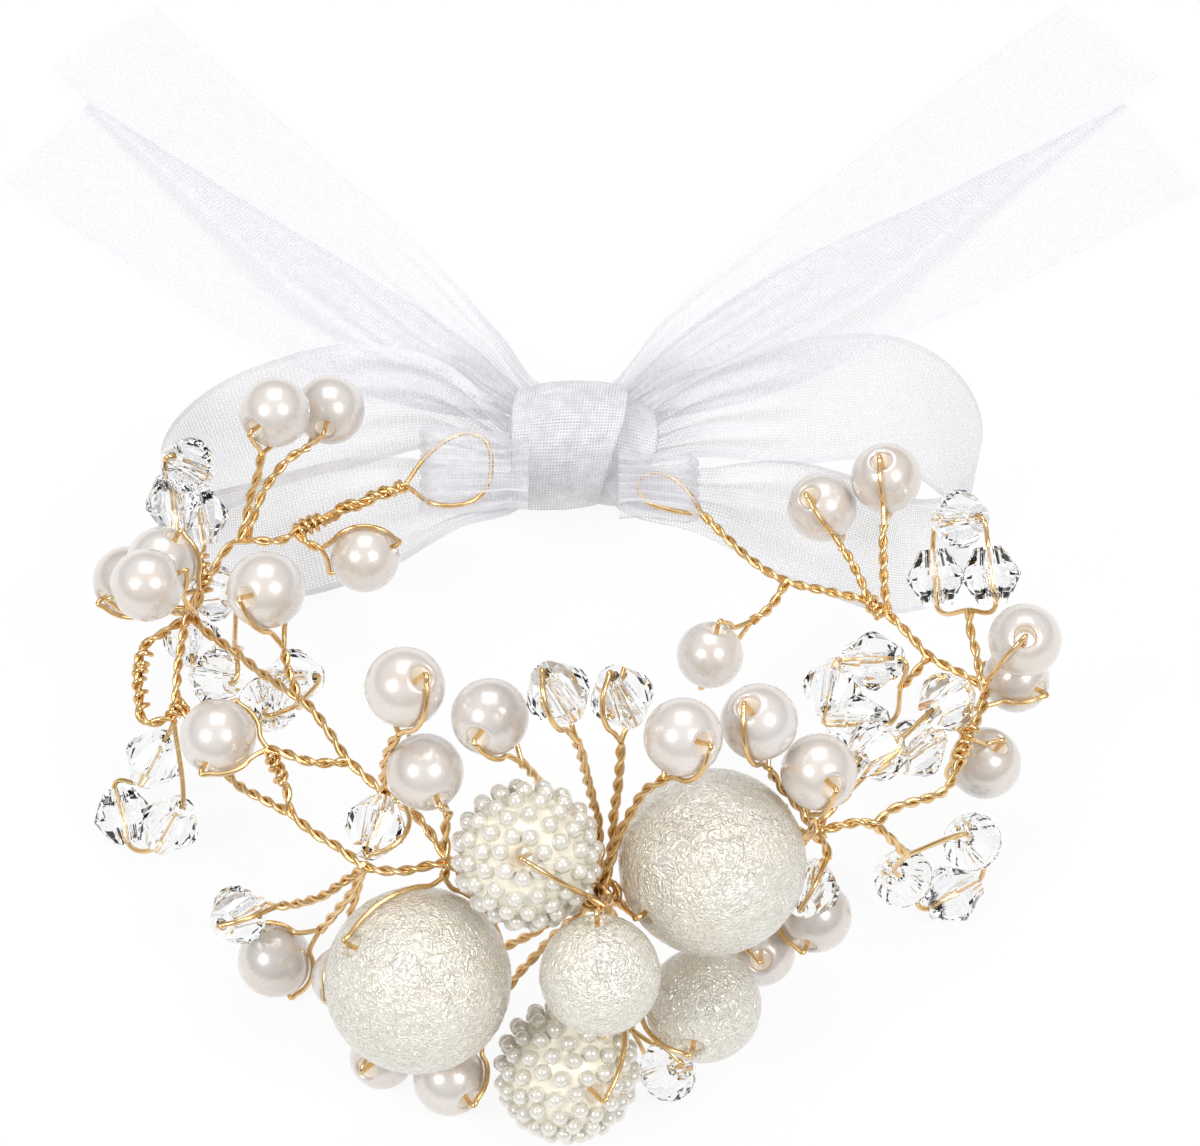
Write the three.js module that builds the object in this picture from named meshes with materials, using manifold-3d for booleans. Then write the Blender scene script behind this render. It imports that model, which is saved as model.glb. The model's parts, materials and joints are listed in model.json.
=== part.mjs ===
// Wrist corsage: a vine of twisted gold wire with pearls, cotton pearls, berry balls and crystals,
// closed round the wrist by a bow of sheer ribbon. It stands on its lowest beads, with the ring
// leaning back and the tails lying on the table. Millimetres, +Z up.
import * as THREE from "three";
import { mergeVertices } from "three/addons/utils/BufferGeometryUtils.js";
import Module from "manifold-3d";

// Driving dimensions
const bandWidth = 50; // the beaded band, from the table to the top of its twigs
const pearlDiameter = 6;
const pearlBore = 1.8;
const largeCottonDiameter = 14.8;
const smallCottonDiameter = 9.4;
const berryDiameter = 12;
const largeBore = 2.2;
const crystalDiameter = 5;
const crystalLength = 4.8;
const crystalEndDiameter = 2.4;
const crystalBore = 1.4;
const strandDiameter = 0.4;
const twistDiameter = 0.8; // two strands twisted together
const wrapDiameter = 1.5; // a stem under a winding of loose wire
const beadGap = 0.4; // from a bead to the strand that goes round it
const wireGap = 0.3; // between the ends of two wires that meet
const passingGap = 0.05; // from a large bead to what only passes it
const ribbonWidth = 12.5;
const ribbonThickness = 0.3;
const strapThickness = 0.6; // two layers
const foldDepth = 0.8;
const strapWidth = 3.8;
const strapLength = 5.2;
const strapSpacing = 3.4; // between the middles of its two layers
const knotWidth = 11;
const knotDepth = 8;
const knotHeight = 10;
const knotRounding = 1.2;

// The view that the pixels belong to: how far the eye is from the table and how steeply it looks down
const viewDistance = 322;
const viewElevation = THREE.MathUtils.degToRad(58);
const pixelColumns = 1200;
const pixelRows = 1146;
const viewZoom = 3; // the lens's focal length as a share of the picture's width

// Fineness of the solids
const pearlSides = 9;
const largeSides = 12;
const crystalSides = 8;
const strandSides = 3;
const twistSides = 4;
const strapBendSides = 6;
const ribbonColumns = 4;
const ribbonFolds = 2;
const ribbonRowsPerPoint = 2;
const twistStepsPerPoint = 1.5;
const strandStepsPerPoint = 1.3;
const arcPitch = 2; // along a strand round a bead
const lipOffset = 0.55; // from the bore's axis to where a strand turns down into it
const boreDipShare = 0.75;

// Every place below is a pixel of the photograph, in its 1200 × 1146 frame, with the height above the
// table as a share of the band's width. mouthPixel shows where the bore opens. twigRoute runs from the
// stem to the point where the twist opens into the two strands that hold the bead.
const pearls = [
  { pixel: [275, 412], heightShare: 0.43, mouthPixel: [255, 432], vine: "left",
    twigRoute: [[240, 541, 0.22], [250, 500, 0.28], [258, 472, 0.34], [262, 454, 0.38]] },
  { pixel: [330, 410], heightShare: 0.34, mouthPixel: [326, 432], vine: "left",
    twigRoute: [[246, 538, 0.22], [264, 490, 0.25], [288, 460, 0.28], [308, 447, 0.29]] },
  { pixel: [147, 585], heightShare: 0.45, mouthPixel: [112, 598], vine: "left",
    twigRoute: [[193, 614, 0.25], [192, 612, 0.32], [188, 608, 0.38]] },
  { pixel: [162, 562], heightShare: 0.34, mouthPixel: [180, 535], vine: "left",
    twigRoute: [[191, 615, 0.254], [199, 600, 0.29], [199, 590, 0.31]] },
  { pixel: [128, 581], heightShare: 0.23, mouthPixel: [104, 600], vine: "left",
    twigRoute: [[195, 613, 0.246], [178, 612, 0.22], [166, 606, 0.2]] },
  { pixel: [266, 590], heightShare: 0.52, mouthPixel: [246, 598], sizeShare: 1.05, vine: "left",
    twigRoute: [[300, 700, 0.38], [288, 668, 0.42], [284, 648, 0.45]] },
  { pixel: [365, 558], heightShare: 0.16, mouthPixel: [396, 545], vine: "left",
    twigRoute: [[296, 533, 0.2], [310, 545, 0.19], [321, 549, 0.18]] },
  { pixel: [218, 737], heightShare: 0.4, mouthPixel: [205, 768], sizeShare: 1.03, vine: "left",
    twigRoute: [[350, 762, 0.42], [310, 762, 0.42], [285, 754, 0.41], [268, 749, 0.4]] },
  { pixel: [405, 687], heightShare: 0.72, mouthPixel: [425, 675], sizeShare: 1.03, vine: "left",
    twigRoute: [[383, 791, 0.43], [384, 768, 0.52], [388, 748, 0.61], [399, 734, 0.66]] },
  { pixel: [490, 717], heightShare: 0.68, mouthPixel: [477, 738], vine: "hub",
    twigRoute: [[592, 896, 0.4], [583, 862, 0.38], [564, 812, 0.4], [543, 786, 0.46],
      [522, 763, 0.61]] },
  { pixel: [425, 772], heightShare: 0.59, mouthPixel: [440, 802], vine: "left",
    twigRoute: [[447, 858, 0.44], [446, 840, 0.46], [446, 824, 0.5], [448, 812, 0.54]] },
  { pixel: [275, 960], heightShare: 0.06, mouthPixel: [262, 926], sizeShare: 1.03, vine: "left",
    twigRoute: [[365, 866, 0.38], [350, 895, 0.28], [331, 918, 0.18], [320, 930, 0.13]] },
  { pixel: [382, 1057], heightShare: 0.05, mouthPixel: [366, 1066], sizeShare: 0.88, vine: "hub",
    twigRoute: [[587, 899, 0.392], [520, 940, 0.2], [440, 985, 0.08], [412, 1012, 0.06]] },
  { pixel: [450, 1079], heightShare: 0.06, mouthPixel: [471, 1099], vine: "hub",
    twigRoute: [[596, 899, 0.402], [540, 950, 0.22], [500, 1000, 0.11], [484, 1032, 0.08]] },
  { pixel: [345, 978], heightShare: 0.11, mouthPixel: [330, 995], sizeShare: 0.92, vine: "left",
    twigRoute: [[363, 867, 0.384], [357, 890, 0.28], [350, 918, 0.18], [349, 930, 0.15]] },
  { pixel: [683, 737], heightShare: 0.74, mouthPixel: [706, 743], vine: "hub",
    twigRoute: [[603, 893, 0.42], [616, 845, 0.5], [642, 795, 0.61], [665, 778, 0.67]] },
  { pixel: [759, 722], heightShare: 0.65, mouthPixel: [745, 704], vine: "right",
    twigRoute: [[812, 832, 0.41], [799, 806, 0.48], [778, 783, 0.51], [768, 768, 0.58]] },
  { pixel: [819, 772], heightShare: 0.57, mouthPixel: [832, 786], vine: "right",
    twigRoute: [[810, 833, 0.414], [813, 825, 0.46], [809, 816, 0.51]] },
  { pixel: [710, 655], heightShare: 0.24, mouthPixel: [718, 626], sizeShare: 0.94, vine: "right",
    twigRoute: [[787, 581, 0.23], [775, 601, 0.23], [762, 614, 0.24], [752, 621, 0.24]] },
  { pixel: [822, 507], heightShare: 0.27, mouthPixel: [806, 496], vine: "right",
    twigRoute: [[869, 601, 0.25], [858, 575, 0.26], [847, 554, 0.27], [840, 546, 0.27]] },
  { pixel: [886, 478], heightShare: 0.34, mouthPixel: [878, 460], vine: "right",
    twigRoute: [[888, 614, 0.26], [884, 575, 0.3], [883, 545, 0.33], [884, 525, 0.34]] },
  { pixel: [1025, 640], heightShare: 0.42, mouthPixel: [1021, 636], vine: "right",
    twigRoute: [[985, 690, 0.3], [984, 687, 0.34], [987, 680, 0.37]] },
  { pixel: [1016, 679], heightShare: 0.26, mouthPixel: [1040, 692], sizeShare: 0.94, vine: "right",
    twigRoute: [[984, 700, 0.3], [981, 705, 0.29], [977, 709, 0.28]] },
  { pixel: [985, 763], heightShare: 0.22, mouthPixel: [998, 742], vine: "right",
    twigRoute: [[975, 722, 0.31], [966, 729, 0.33], [962, 733, 0.34]] },
  { pixel: [815, 916], heightShare: 0.18, mouthPixel: [804, 946], vine: "right",
    twigRoute: [[814, 831, 0.406], [795, 850, 0.3], [778, 872, 0.21], [779, 885, 0.19]] },
  { pixel: [761, 952], heightShare: 0.1, mouthPixel: [759, 958], sizeShare: 0.94, vine: "hub",
    twigRoute: [[601, 894, 0.424], [620, 906, 0.3], [690, 904, 0.17], [724, 916, 0.13]] },
];

const largeBeads = [
  { name: "cotton_pearl_large_left", diameter: largeCottonDiameter, pixel: [418, 980],
    heightShare: 0.32, mouthPixel: [352, 938], vine: "left",
    twigRoute: [[447, 862, 0.43], [446, 870, 0.42], [444, 877, 0.42]] },
  { name: "cotton_pearl_large_right", diameter: largeCottonDiameter, pixel: [712, 862],
    heightShare: 0.44, mouthPixel: [640, 912], vine: "hub",
    twigRoute: [[605, 892, 0.416], [608, 897, 0.4], [611, 900, 0.39]] },
  { name: "cotton_pearl_small_front", diameter: smallCottonDiameter, pixel: [600, 975],
    heightShare: 0.46, mouthPixel: [597, 916], vine: "hub",
    twigRoute: [[602, 893, 0.42], [603, 897, 0.45], [603, 903, 0.46]] },
  { name: "cotton_pearl_small_low", diameter: smallCottonDiameter, pixel: [703, 1005],
    heightShare: 0.2, mouthPixel: [690, 1046], vine: "hub",
    twigRoute: [[604, 895, 0.426], [618, 930, 0.25], [630, 965, 0.2], [637, 985, 0.18]] },
  { name: "berry_ball_upper", diameter: berryDiameter, pixel: [527, 855],
    heightShare: 0.5, mouthPixel: [523, 852], vine: "hub",
    twigRoute: [[600, 892, 0.414], [606, 898, 0.46], [604, 906, 0.505]] },
  { name: "berry_ball_lower", diameter: berryDiameter, pixel: [567, 1070],
    heightShare: 0.12, mouthPixel: [602, 1090], vine: "hub",
    twigRoute: [[606, 894, 0.422], [600, 940, 0.25], [608, 985, 0.18], [612, 1000, 0.17]] },
];

// Crystals that share a strand loop, in the order in which the strand goes through them
const crystalLoops = [
  { name: "crystals_left_top", vine: "left",
    crystals: [[174, 503, 0.34], [187, 466, 0.38], [200, 516, 0.27]],
    twigRoute: [[205, 592, 0.24], [204, 575, 0.25], [200, 556, 0.26]] },
  { name: "crystals_left_inner", vine: "left",
    crystals: [[214, 593, 0.12], [192, 639, 0.14], [216, 678, 0.18]],
    twigRoute: [[238, 654, 0.31], [240, 651, 0.26], [235, 644, 0.22]] },
  { name: "crystals_left_pair", vine: "left",
    crystals: [[268, 704, 0.25], [294, 678, 0.2]],
    twigRoute: [[300, 699, 0.38], [300, 704, 0.33], [297, 706, 0.29]] },
  { name: "crystals_left_low", vine: "left",
    crystals: [[154, 759, 0.17], [123, 815, 0.06], [170, 825, 0.11]],
    twigRoute: [[188, 616, 0.26], [180, 650, 0.25], [176, 700, 0.24], [174, 722, 0.24]] },
  { name: "crystals_right_top", vine: "right",
    crystals: [[936, 578, 0.27], [960, 519, 0.38], [991, 576, 0.37]],
    twigRoute: [[983, 690, 0.3], [977, 660, 0.31], [972, 635, 0.31], [969, 610, 0.31]] },
  { name: "crystals_right_inner", vine: "right",
    crystals: [[873, 661, 0.33], [832, 688, 0.27], [858, 724, 0.35]],
    twigRoute: [[927, 659, 0.28], [915, 674, 0.29], [901, 687, 0.31]] },
  { name: "crystals_right_middle", vine: "right",
    crystals: [[876, 751, 0.46], [917, 748, 0.38], [947, 702, 0.41]],
    twigRoute: [[813, 834, 0.416], [832, 808, 0.43], [848, 793, 0.46]] },
  { name: "crystals_right_low", vine: "right",
    crystals: [[903, 878, 0.16], [952, 894, 0.05], [972, 842, 0.17]],
    twigRoute: [[874, 824, 0.41], [890, 839, 0.37], [907, 855, 0.31]] },
];

const loneCrystals = [
  { name: "crystal_left_front", pixel: [375, 827], heightShare: 0.5, mouthPixel: [368, 850], vine: "left",
    twigRoute: [[400, 804, 0.435], [404, 802, 0.47], [404, 800, 0.5]] },
  { name: "crystal_left_bottom", pixel: [239, 915], heightShare: 0.19, mouthPixel: [224, 922],
    vine: "left",
    twigRoute: [[367, 865, 0.376], [335, 888, 0.31], [300, 903, 0.24], [278, 906, 0.21]] },
  { name: "crystal_top_left", pixel: [558, 693], heightShare: 0.84, mouthPixel: [545, 672], vine: "hub",
    twigRoute: [[602, 891, 0.428], [600, 845, 0.42], [593, 800, 0.53], [577, 742, 0.77]] },
  { name: "crystal_top_right", pixel: [622, 697], heightShare: 0.72, mouthPixel: [612, 675], vine: "hub",
    twigRoute: [[603, 895, 0.412], [611, 845, 0.48], [617, 790, 0.58], [621, 742, 0.67]] },
  { name: "crystal_right_bottom", pixel: [809, 888], heightShare: 0.3, mouthPixel: [800, 905],
    vine: "right",
    twigRoute: [[809, 831, 0.404], [824, 844, 0.38], [828, 857, 0.35]] },
  { name: "crystal_front_bottom", pixel: [668, 1071], heightShare: 0.06, mouthPixel: [680, 1062],
    vine: "hub",
    twigRoute: [[605, 895, 0.43], [612, 945, 0.22], [622, 1000, 0.12], [632, 1030, 0.08]] },
];

// Stems of the vine, each a route with the diameter of what runs along it
const stems = {
  left: [
    { diameter: strandDiameter, route: [[405, 485, 0.22], [428, 455, 0.23], [462, 434, 0.23],
      [486, 442, 0.23], [489, 482, 0.23], [470, 502, 0.23], [435, 504, 0.23],
      [405, 485, 0.22]] },
    { diameter: wrapDiameter, route: [[408, 484, 0.22], [350, 507, 0.2], [296, 532, 0.2]] },
    { diameter: twistDiameter, route: [[298, 531, 0.2], [280, 541, 0.21], [238, 541, 0.22],
      [215, 570, 0.235], [193, 614, 0.25], [238, 654, 0.31], [284, 688, 0.37], [302, 700, 0.38],
      [325, 726, 0.4], [350, 762, 0.42], [381, 790, 0.43], [419, 818, 0.44], [447, 858, 0.44]] },
    { diameter: twistDiameter, route: [[447, 856, 0.44], [460, 876, 0.4], [500, 892, 0.32],
      [545, 897, 0.31], [568, 896, 0.35]] },
    { diameter: twistDiameter, route: [[268, 751, 0.4], [285, 785, 0.36], [293, 815, 0.33],
      [335, 845, 0.36], [365, 866, 0.38], [400, 871, 0.4], [447, 862, 0.43]] },
    { diameter: twistDiameter, route: [[178, 700, 0.24], [205, 740, 0.25], [233, 779, 0.28],
      [255, 795, 0.31], [293, 815, 0.33]] },
    { diameter: twistDiameter, route: [[193, 616, 0.25], [165, 632, 0.26], [142, 650, 0.26],
      [140, 690, 0.25], [145, 722, 0.24], [174, 716, 0.24]] },
  ],
  hub: [
    { diameter: wrapDiameter, route: [[582, 897, 0.38], [592, 896, 0.4], [603, 893, 0.42],
      [608, 889, 0.41]] },
  ],
  right: [
    { diameter: twistDiameter, route: [[628, 888, 0.3], [662, 856, 0.24], [700, 832, 0.25],
      [760, 826, 0.32], [790, 829, 0.37], [812, 832, 0.41], [861, 822, 0.42], [874, 824, 0.41],
      [892, 809, 0.4], [920, 800, 0.38], [946, 790, 0.36], [965, 744, 0.33], [978, 720, 0.31],
      [985, 690, 0.3], [963, 675, 0.3], [929, 656, 0.28], [913, 638, 0.27], [890, 617, 0.26],
      [869, 601, 0.25], [835, 594, 0.24], [787, 581, 0.23], [754, 562, 0.22], [725, 536, 0.2],
      [702, 514, 0.21]] },
    { diameter: strandDiameter, route: [[702, 514, 0.21], [714, 488, 0.23], [708, 454, 0.23],
      [682, 440, 0.23], [658, 446, 0.23], [656, 498, 0.23], [672, 511, 0.23],
      [702, 514, 0.21]] },
  ],
};

// Ribbons: pixel and height share of the middle line, how far the ribbon leans up from lying flat in
// degrees, and its gathered width as a share of the full width
const ribbons = [
  { name: "ribbon_tail_left_upper", route: [[504, 384, 0.18, 10, 0.36], [472, 356, 0.11, 5, 0.55],
    [430, 330, 0.09, 3, 0.8], [335, 248, 0.08, 0, 1], [220, 145, 0.045, 0, 1],
    [103, 35, 0.028, 0, 1]] },
  { name: "ribbon_tail_left_lower", route: [[504, 405, 0.09, 10, 0.4], [420, 364, 0.07, 5, 0.85],
    [290, 297, 0.03, 0, 1], [160, 215, 0.012, 0, 1], [46, 141, 0.01, 0, 1]] },
  { name: "ribbon_tail_right_upper", route: [[641, 386, 0.19, -10, 0.4], [674, 362, 0.13, -5, 0.6],
    [712, 335, 0.11, -3, 0.8], [830, 253, 0.08, 0, 1], [960, 150, 0.045, 0, 1],
    [1114, 38, 0.028, 0, 1]] },
  { name: "ribbon_tail_right_lower", route: [[641, 405, 0.09, -10, 0.4], [725, 362, 0.07, -5, 0.85],
    [845, 300, 0.03, 0, 1], [980, 238, 0.012, 0, 1], [1162, 147, 0.01, 0, 1]] },
  { name: "ribbon_loop_left", route: [[504, 442, 0.115, 110, 0.34], [430, 406, 0.13, 118, 0.72],
    [340, 408, 0.13, 120, 1], [255, 432, 0.13, 116, 1], [195, 470, 0.13, 105, 1],
    [172, 512, 0.13, 90, 1], [190, 542, 0.125, 78, 1], [240, 546, 0.12, 68, 1],
    [300, 534, 0.12, 62, 1], [380, 510, 0.12, 60, 0.9], [450, 496, 0.11, 65, 0.55],
    [504, 494, 0.105, 75, 0.36]] },
  { name: "ribbon_loop_right", route: [[641, 441, 0.12, 70, 0.36], [710, 414, 0.13, 62, 0.7],
    [800, 402, 0.13, 60, 1], [880, 398, 0.13, 60, 1], [940, 430, 0.13, 70, 1],
    [972, 485, 0.13, 88, 1], [955, 540, 0.125, 102, 1], [905, 556, 0.12, 112, 1],
    [850, 540, 0.12, 118, 1], [780, 516, 0.12, 118, 0.9], [705, 500, 0.11, 115, 0.55],
    [641, 494, 0.105, 105, 0.36]] },
];

// Straps that go from the knot through the eyelets at the vine's two ends and back
const straps = [
  { name: "ribbon_strap_left", pixel: [510, 464], heightShare: 0.23, towards: -1 },
  { name: "ribbon_strap_right", pixel: [635, 474], heightShare: 0.23, towards: 1 },
];

const knotPlace = [573, 440, 0.18];

const pearlLook = { color: "#f0e6dc", roughness: 0.18, metalness: 0.05 };
const cottonLook = { color: "#f1ead8", roughness: 0.45, metalness: 0.1 };
const berryLook = { color: "#f4eee0", roughness: 0.3, metalness: 0.05 };
const crystalLook = { color: "#eef2f5", roughness: 0.03, metalness: 0, transparent: true, opacity: 0.4 };
const wireLook = { color: "#d9a441", roughness: 0.28, metalness: 1 };
const ribbonLook = { color: "#f5f5fa", roughness: 0.6, metalness: 0, transparent: true, opacity: 0.5 };

const wasm = await Module();
wasm.setup();

// The view's own axes: across the picture, up the picture and into it
const viewAcross = new THREE.Vector3(1, 0, 0);
const viewUp = new THREE.Vector3(0, Math.sin(viewElevation), Math.cos(viewElevation));
const viewInto = new THREE.Vector3(0, Math.cos(viewElevation), -Math.sin(viewElevation));
const eye = viewInto.clone().multiplyScalar(-viewDistance);

function placeOf([x, y, heightShare]) {
  const sight = viewInto.clone()
    .addScaledVector(viewAcross, (x - pixelColumns / 2) / (viewZoom * pixelColumns))
    .addScaledVector(viewUp, (pixelRows / 2 - y) / (viewZoom * pixelColumns));
  const height = bandWidth * heightShare;
  return eye.clone().addScaledVector(sight, (height - eye.z) / sight.z);
}

// A bead's middle, never lower than where it rests on the table
function restingPlace(pixel, heightShare, radius) {
  return placeOf([...pixel, Math.max(heightShare, radius / bandWidth)]);
}

const largeBalls = largeBeads.map(({ name, diameter, pixel, heightShare }) => (
  { name, radius: diameter / 2, centre: restingPlace(pixel, heightShare, diameter / 2) }));

// Moves a place out of every large bead but its own, as far as what is there needs to pass it
function passBeads(place, diameter, ownBead) {
  for (const { name, radius, centre } of largeBalls) {
    const reach = radius + passingGap + diameter / 2;
    if (name !== ownBead && place.distanceTo(centre) < reach) {
      place.sub(centre).setLength(reach).add(centre);
    }
  }
  return place;
}

function beadPlace(pixel, heightShare, diameter, ownBead) {
  return passBeads(restingPlace(pixel, heightShare, diameter / 2), diameter, ownBead);
}

// The direction of a bore whose mouth is seen at a pixel of the bead
function boreAxis(pixel, centre, mouthPixel, radius) {
  const depth = centre.clone().sub(eye).dot(viewInto);
  const perPixel = depth / (viewZoom * pixelColumns);
  const across = (mouthPixel[0] - pixel[0]) * perPixel;
  const up = (pixel[1] - mouthPixel[1]) * perPixel;
  const toward = Math.sqrt(Math.max(radius * radius - across * across - up * up, 0));
  return new THREE.Vector3()
    .addScaledVector(viewAcross, across)
    .addScaledVector(viewUp, up)
    .addScaledVector(viewInto, -toward)
    .normalize();
}

// Only the positions of a geometry, with shared corners merged
function bare(geometry) {
  const plain = geometry.clone();
  plain.deleteAttribute("normal");
  plain.deleteAttribute("uv");
  return mergeVertices(plain);
}

function solidOf(geometry) {
  const shape = bare(geometry);
  return new wasm.Manifold(new wasm.Mesh({
    numProp: 3,
    vertProperties: shape.attributes.position.array,
    triVerts: new Uint32Array(shape.index.array),
  }));
}

function geometryOf(solid) {
  const mesh = solid.getMesh();
  const geometry = new THREE.BufferGeometry();
  geometry.setAttribute("position", new THREE.BufferAttribute(mesh.vertProperties, 3));
  geometry.setIndex(new THREE.BufferAttribute(mesh.triVerts, 1));
  geometry.computeVertexNormals();
  return geometry;
}

// The smooth middle line of a wire, which bends round the large beads that it passes
class WireLine extends THREE.CatmullRomCurve3 {
  constructor(points, diameter, ownBead) {
    super(points, false, "centripetal");
    this.diameter = diameter;
    this.ownBead = ownBead;
  }

  getPoint(along, place = new THREE.Vector3()) {
    return passBeads(super.getPoint(along, place), this.diameter, this.ownBead);
  }
}

// A tube of a few sides along a smooth line through the points
function tube(points, diameter, ownBead) {
  const thin = diameter <= strandDiameter;
  const sides = thin ? strandSides : twistSides;
  const stepsPerPoint = thin ? strandStepsPerPoint : twistStepsPerPoint;
  const corners = [];
  for (let i = 0; i < sides; i += 1) {
    const angle = (2 * Math.PI * i) / sides;
    corners.push(new THREE.Vector2(Math.cos(angle), Math.sin(angle)).multiplyScalar(diameter / 2));
  }
  const path = new WireLine(points, diameter, ownBead);
  const steps = Math.ceil(stepsPerPoint * (points.length - 1));
  return new THREE.ExtrudeGeometry(new THREE.Shape(corners), {
    steps, bevelEnabled: false, extrudePath: path,
  });
}

function routeTube({ route, diameter }) {
  return tube(route.map(placeOf), diameter);
}

// One strand from the tie, round the bead to a mouth of its bore and on to its middle
function strandToBore(tie, centre, mouth, radius, ownBead) {
  const reach = radius + beadGap + strandDiameter / 2;
  const from = tie.clone().sub(centre).normalize();
  const angle = from.angleTo(mouth);
  const side = mouth.clone().addScaledVector(from, -mouth.dot(from)).normalize();
  const last = Math.max(angle - lipOffset / reach, 0);
  const count = Math.max(1, Math.round((last * reach) / arcPitch));
  const points = [tie];
  for (let i = 1; i <= count; i += 1) {
    const turn = (last * i) / count;
    points.push(centre.clone()
      .addScaledVector(from, reach * Math.cos(turn))
      .addScaledVector(side, reach * Math.sin(turn)));
  }
  points.push(centre.clone().addScaledVector(mouth, radius * boreDipShare));
  points.push(centre);
  return tube(points, strandDiameter, ownBead);
}

// A ball or a cut bead turned about its bore, which runs along Y
function turnedBead(outline, sides) {
  const points = outline.map(([x, y]) => new THREE.Vector2(x, y));
  points.push(points[0].clone());
  return new THREE.LatheGeometry(points, sides);
}

function ballGeometry(diameter, bore, sides) {
  const radius = diameter / 2;
  const lip = Math.asin(bore / diameter);
  const arcs = Math.round(sides / 2) + 1;
  const outline = [];
  for (let i = 0; i <= arcs; i += 1) {
    const angle = Math.PI - lip - ((Math.PI - 2 * lip) * i) / arcs;
    outline.push([radius * Math.sin(angle), radius * Math.cos(angle)]);
  }
  return turnedBead(outline, sides);
}

function crystalGeometry(bore) {
  const half = crystalLength / 2;
  const outline = [
    [bore / 2, -half],
    [crystalEndDiameter / 2, -half],
    [crystalDiameter / 2, 0],
    [crystalEndDiameter / 2, half],
    [bore / 2, half],
  ];
  return turnedBead(outline, crystalSides);
}

const part = new THREE.Group();

function addMesh(name, geometry, look) {
  const mesh = new THREE.Mesh(geometry, new THREE.MeshStandardMaterial(look));
  mesh.name = name;
  part.add(mesh);
  return mesh;
}

const vineSolids = { left: [], hub: [], right: [] };

// A bead alone on its strand: the bead, and the twig and the two strands that hold it
function addBead({ name, diameter, geometry, look, pixel, heightShare, mouthPixel, vine, twigRoute }) {
  const radius = diameter / 2;
  const centre = beadPlace(pixel, heightShare, diameter, name);
  const axis = boreAxis(pixel, centre, mouthPixel, radius);
  const bead = addMesh(name, geometry, look);
  bead.position.copy(centre);
  bead.quaternion.setFromUnitVectors(new THREE.Vector3(0, 1, 0), axis);
  const twig = twigRoute.map(placeOf);
  const tie = passBeads(twig[twig.length - 1], twistDiameter);
  vineSolids[vine].push(tube(twig, twistDiameter));
  vineSolids[vine].push(strandToBore(tie, centre, axis, radius, name));
  vineSolids[vine].push(strandToBore(tie, centre, axis.clone().negate(), radius, name));
}

function addPearls() {
  pearls.forEach((pearl, i) => {
    const diameter = pearlDiameter * (pearl.sizeShare ?? 1);
    const name = "pearl_" + String(i + 1).padStart(2, "0");
    const geometry = ballGeometry(diameter, pearlBore, pearlSides);
    addBead({ ...pearl, name, diameter, geometry, look: pearlLook });
  });
}

function addLargeBeads() {
  for (const bead of largeBeads) {
    const look = bead.name.startsWith("berry") ? berryLook : cottonLook;
    addBead({ ...bead, geometry: ballGeometry(bead.diameter, largeBore, largeSides), look });
  }
}

function addLoneCrystals() {
  for (const crystal of loneCrystals) {
    const geometry = crystalGeometry(crystalBore);
    addBead({ ...crystal, diameter: crystalDiameter, geometry, look: crystalLook });
  }
}

// Crystals on one strand loop: the strand, which starts just past the tie, goes through them in turn
function addCrystalLoop({ name, vine, crystals, twigRoute }) {
  const twig = twigRoute.map(placeOf);
  vineSolids[vine].push(tube(twig, twistDiameter));
  const tie = passBeads(twig[twig.length - 1], twistDiameter);
  const centres = crystals.map(([x, y, share]) => beadPlace([x, y], share, crystalDiameter));
  const middle = new THREE.Vector3();
  centres.forEach((centre) => middle.addScaledVector(centre, 1 / centres.length));
  const setOff = twistDiameter / 2 + wireGap + strandDiameter / 2;
  const start = tie.clone().addScaledVector(middle.clone().sub(tie).normalize(), setOff);
  const stops = [start, ...centres, start];
  let loop = null;
  for (let i = 1; i < stops.length; i += 1) {
    const strand = solidOf(tube([stops[i - 1], stops[i]], strandDiameter));
    loop = loop ? loop.add(strand) : strand;
  }
  centres.forEach((centre, i) => {
    const along = stops[i + 2].clone().sub(stops[i]).normalize();
    const turn = new THREE.Quaternion().setFromUnitVectors(new THREE.Vector3(0, 1, 0), along);
    const cut = crystalGeometry(0).applyQuaternion(turn).translate(centre.x, centre.y, centre.z);
    loop = loop.add(solidOf(cut));
  });
  addMesh(name, geometryOf(loop), crystalLook);
}

function addVine() {
  for (const [side, geometries] of Object.entries(vineSolids)) {
    let vine = null;
    for (const geometry of [...stems[side].map(routeTube), ...geometries]) {
      const wire = solidOf(geometry);
      vine = vine ? vine.add(wire) : wire;
    }
    const bodies = vine.decompose().sort((a, b) => b.volume() - a.volume());
    addMesh("vine_" + side, geometryOf(bodies[0]), wireLook);
  }
}

// Rows of ribbon corners along its route: position, lean and gathered width change smoothly
function ribbonRows(route) {
  const middle = new THREE.CatmullRomCurve3(route.map(placeOf), false, "centripetal");
  const rows = [];
  const count = ribbonRowsPerPoint * (route.length - 1);
  for (let i = 0; i <= count; i += 1) {
    const along = i / count;
    const before = Math.min(Math.floor(along * (route.length - 1)), route.length - 2);
    const past = along * (route.length - 1) - before;
    const lean = THREE.MathUtils.degToRad(
      THREE.MathUtils.lerp(route[before][3], route[before + 1][3], past));
    const widthShare = THREE.MathUtils.lerp(route[before][4], route[before + 1][4], past);
    const tangent = middle.getTangent(along);
    const flat = new THREE.Vector3(-tangent.y, tangent.x, 0).normalize();
    const across = flat.applyAxisAngle(tangent, lean);
    const normal = new THREE.Vector3().crossVectors(tangent, across).normalize();
    rows.push({ centre: middle.getPoint(along), across, normal, widthShare });
  }
  return rows;
}

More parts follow.
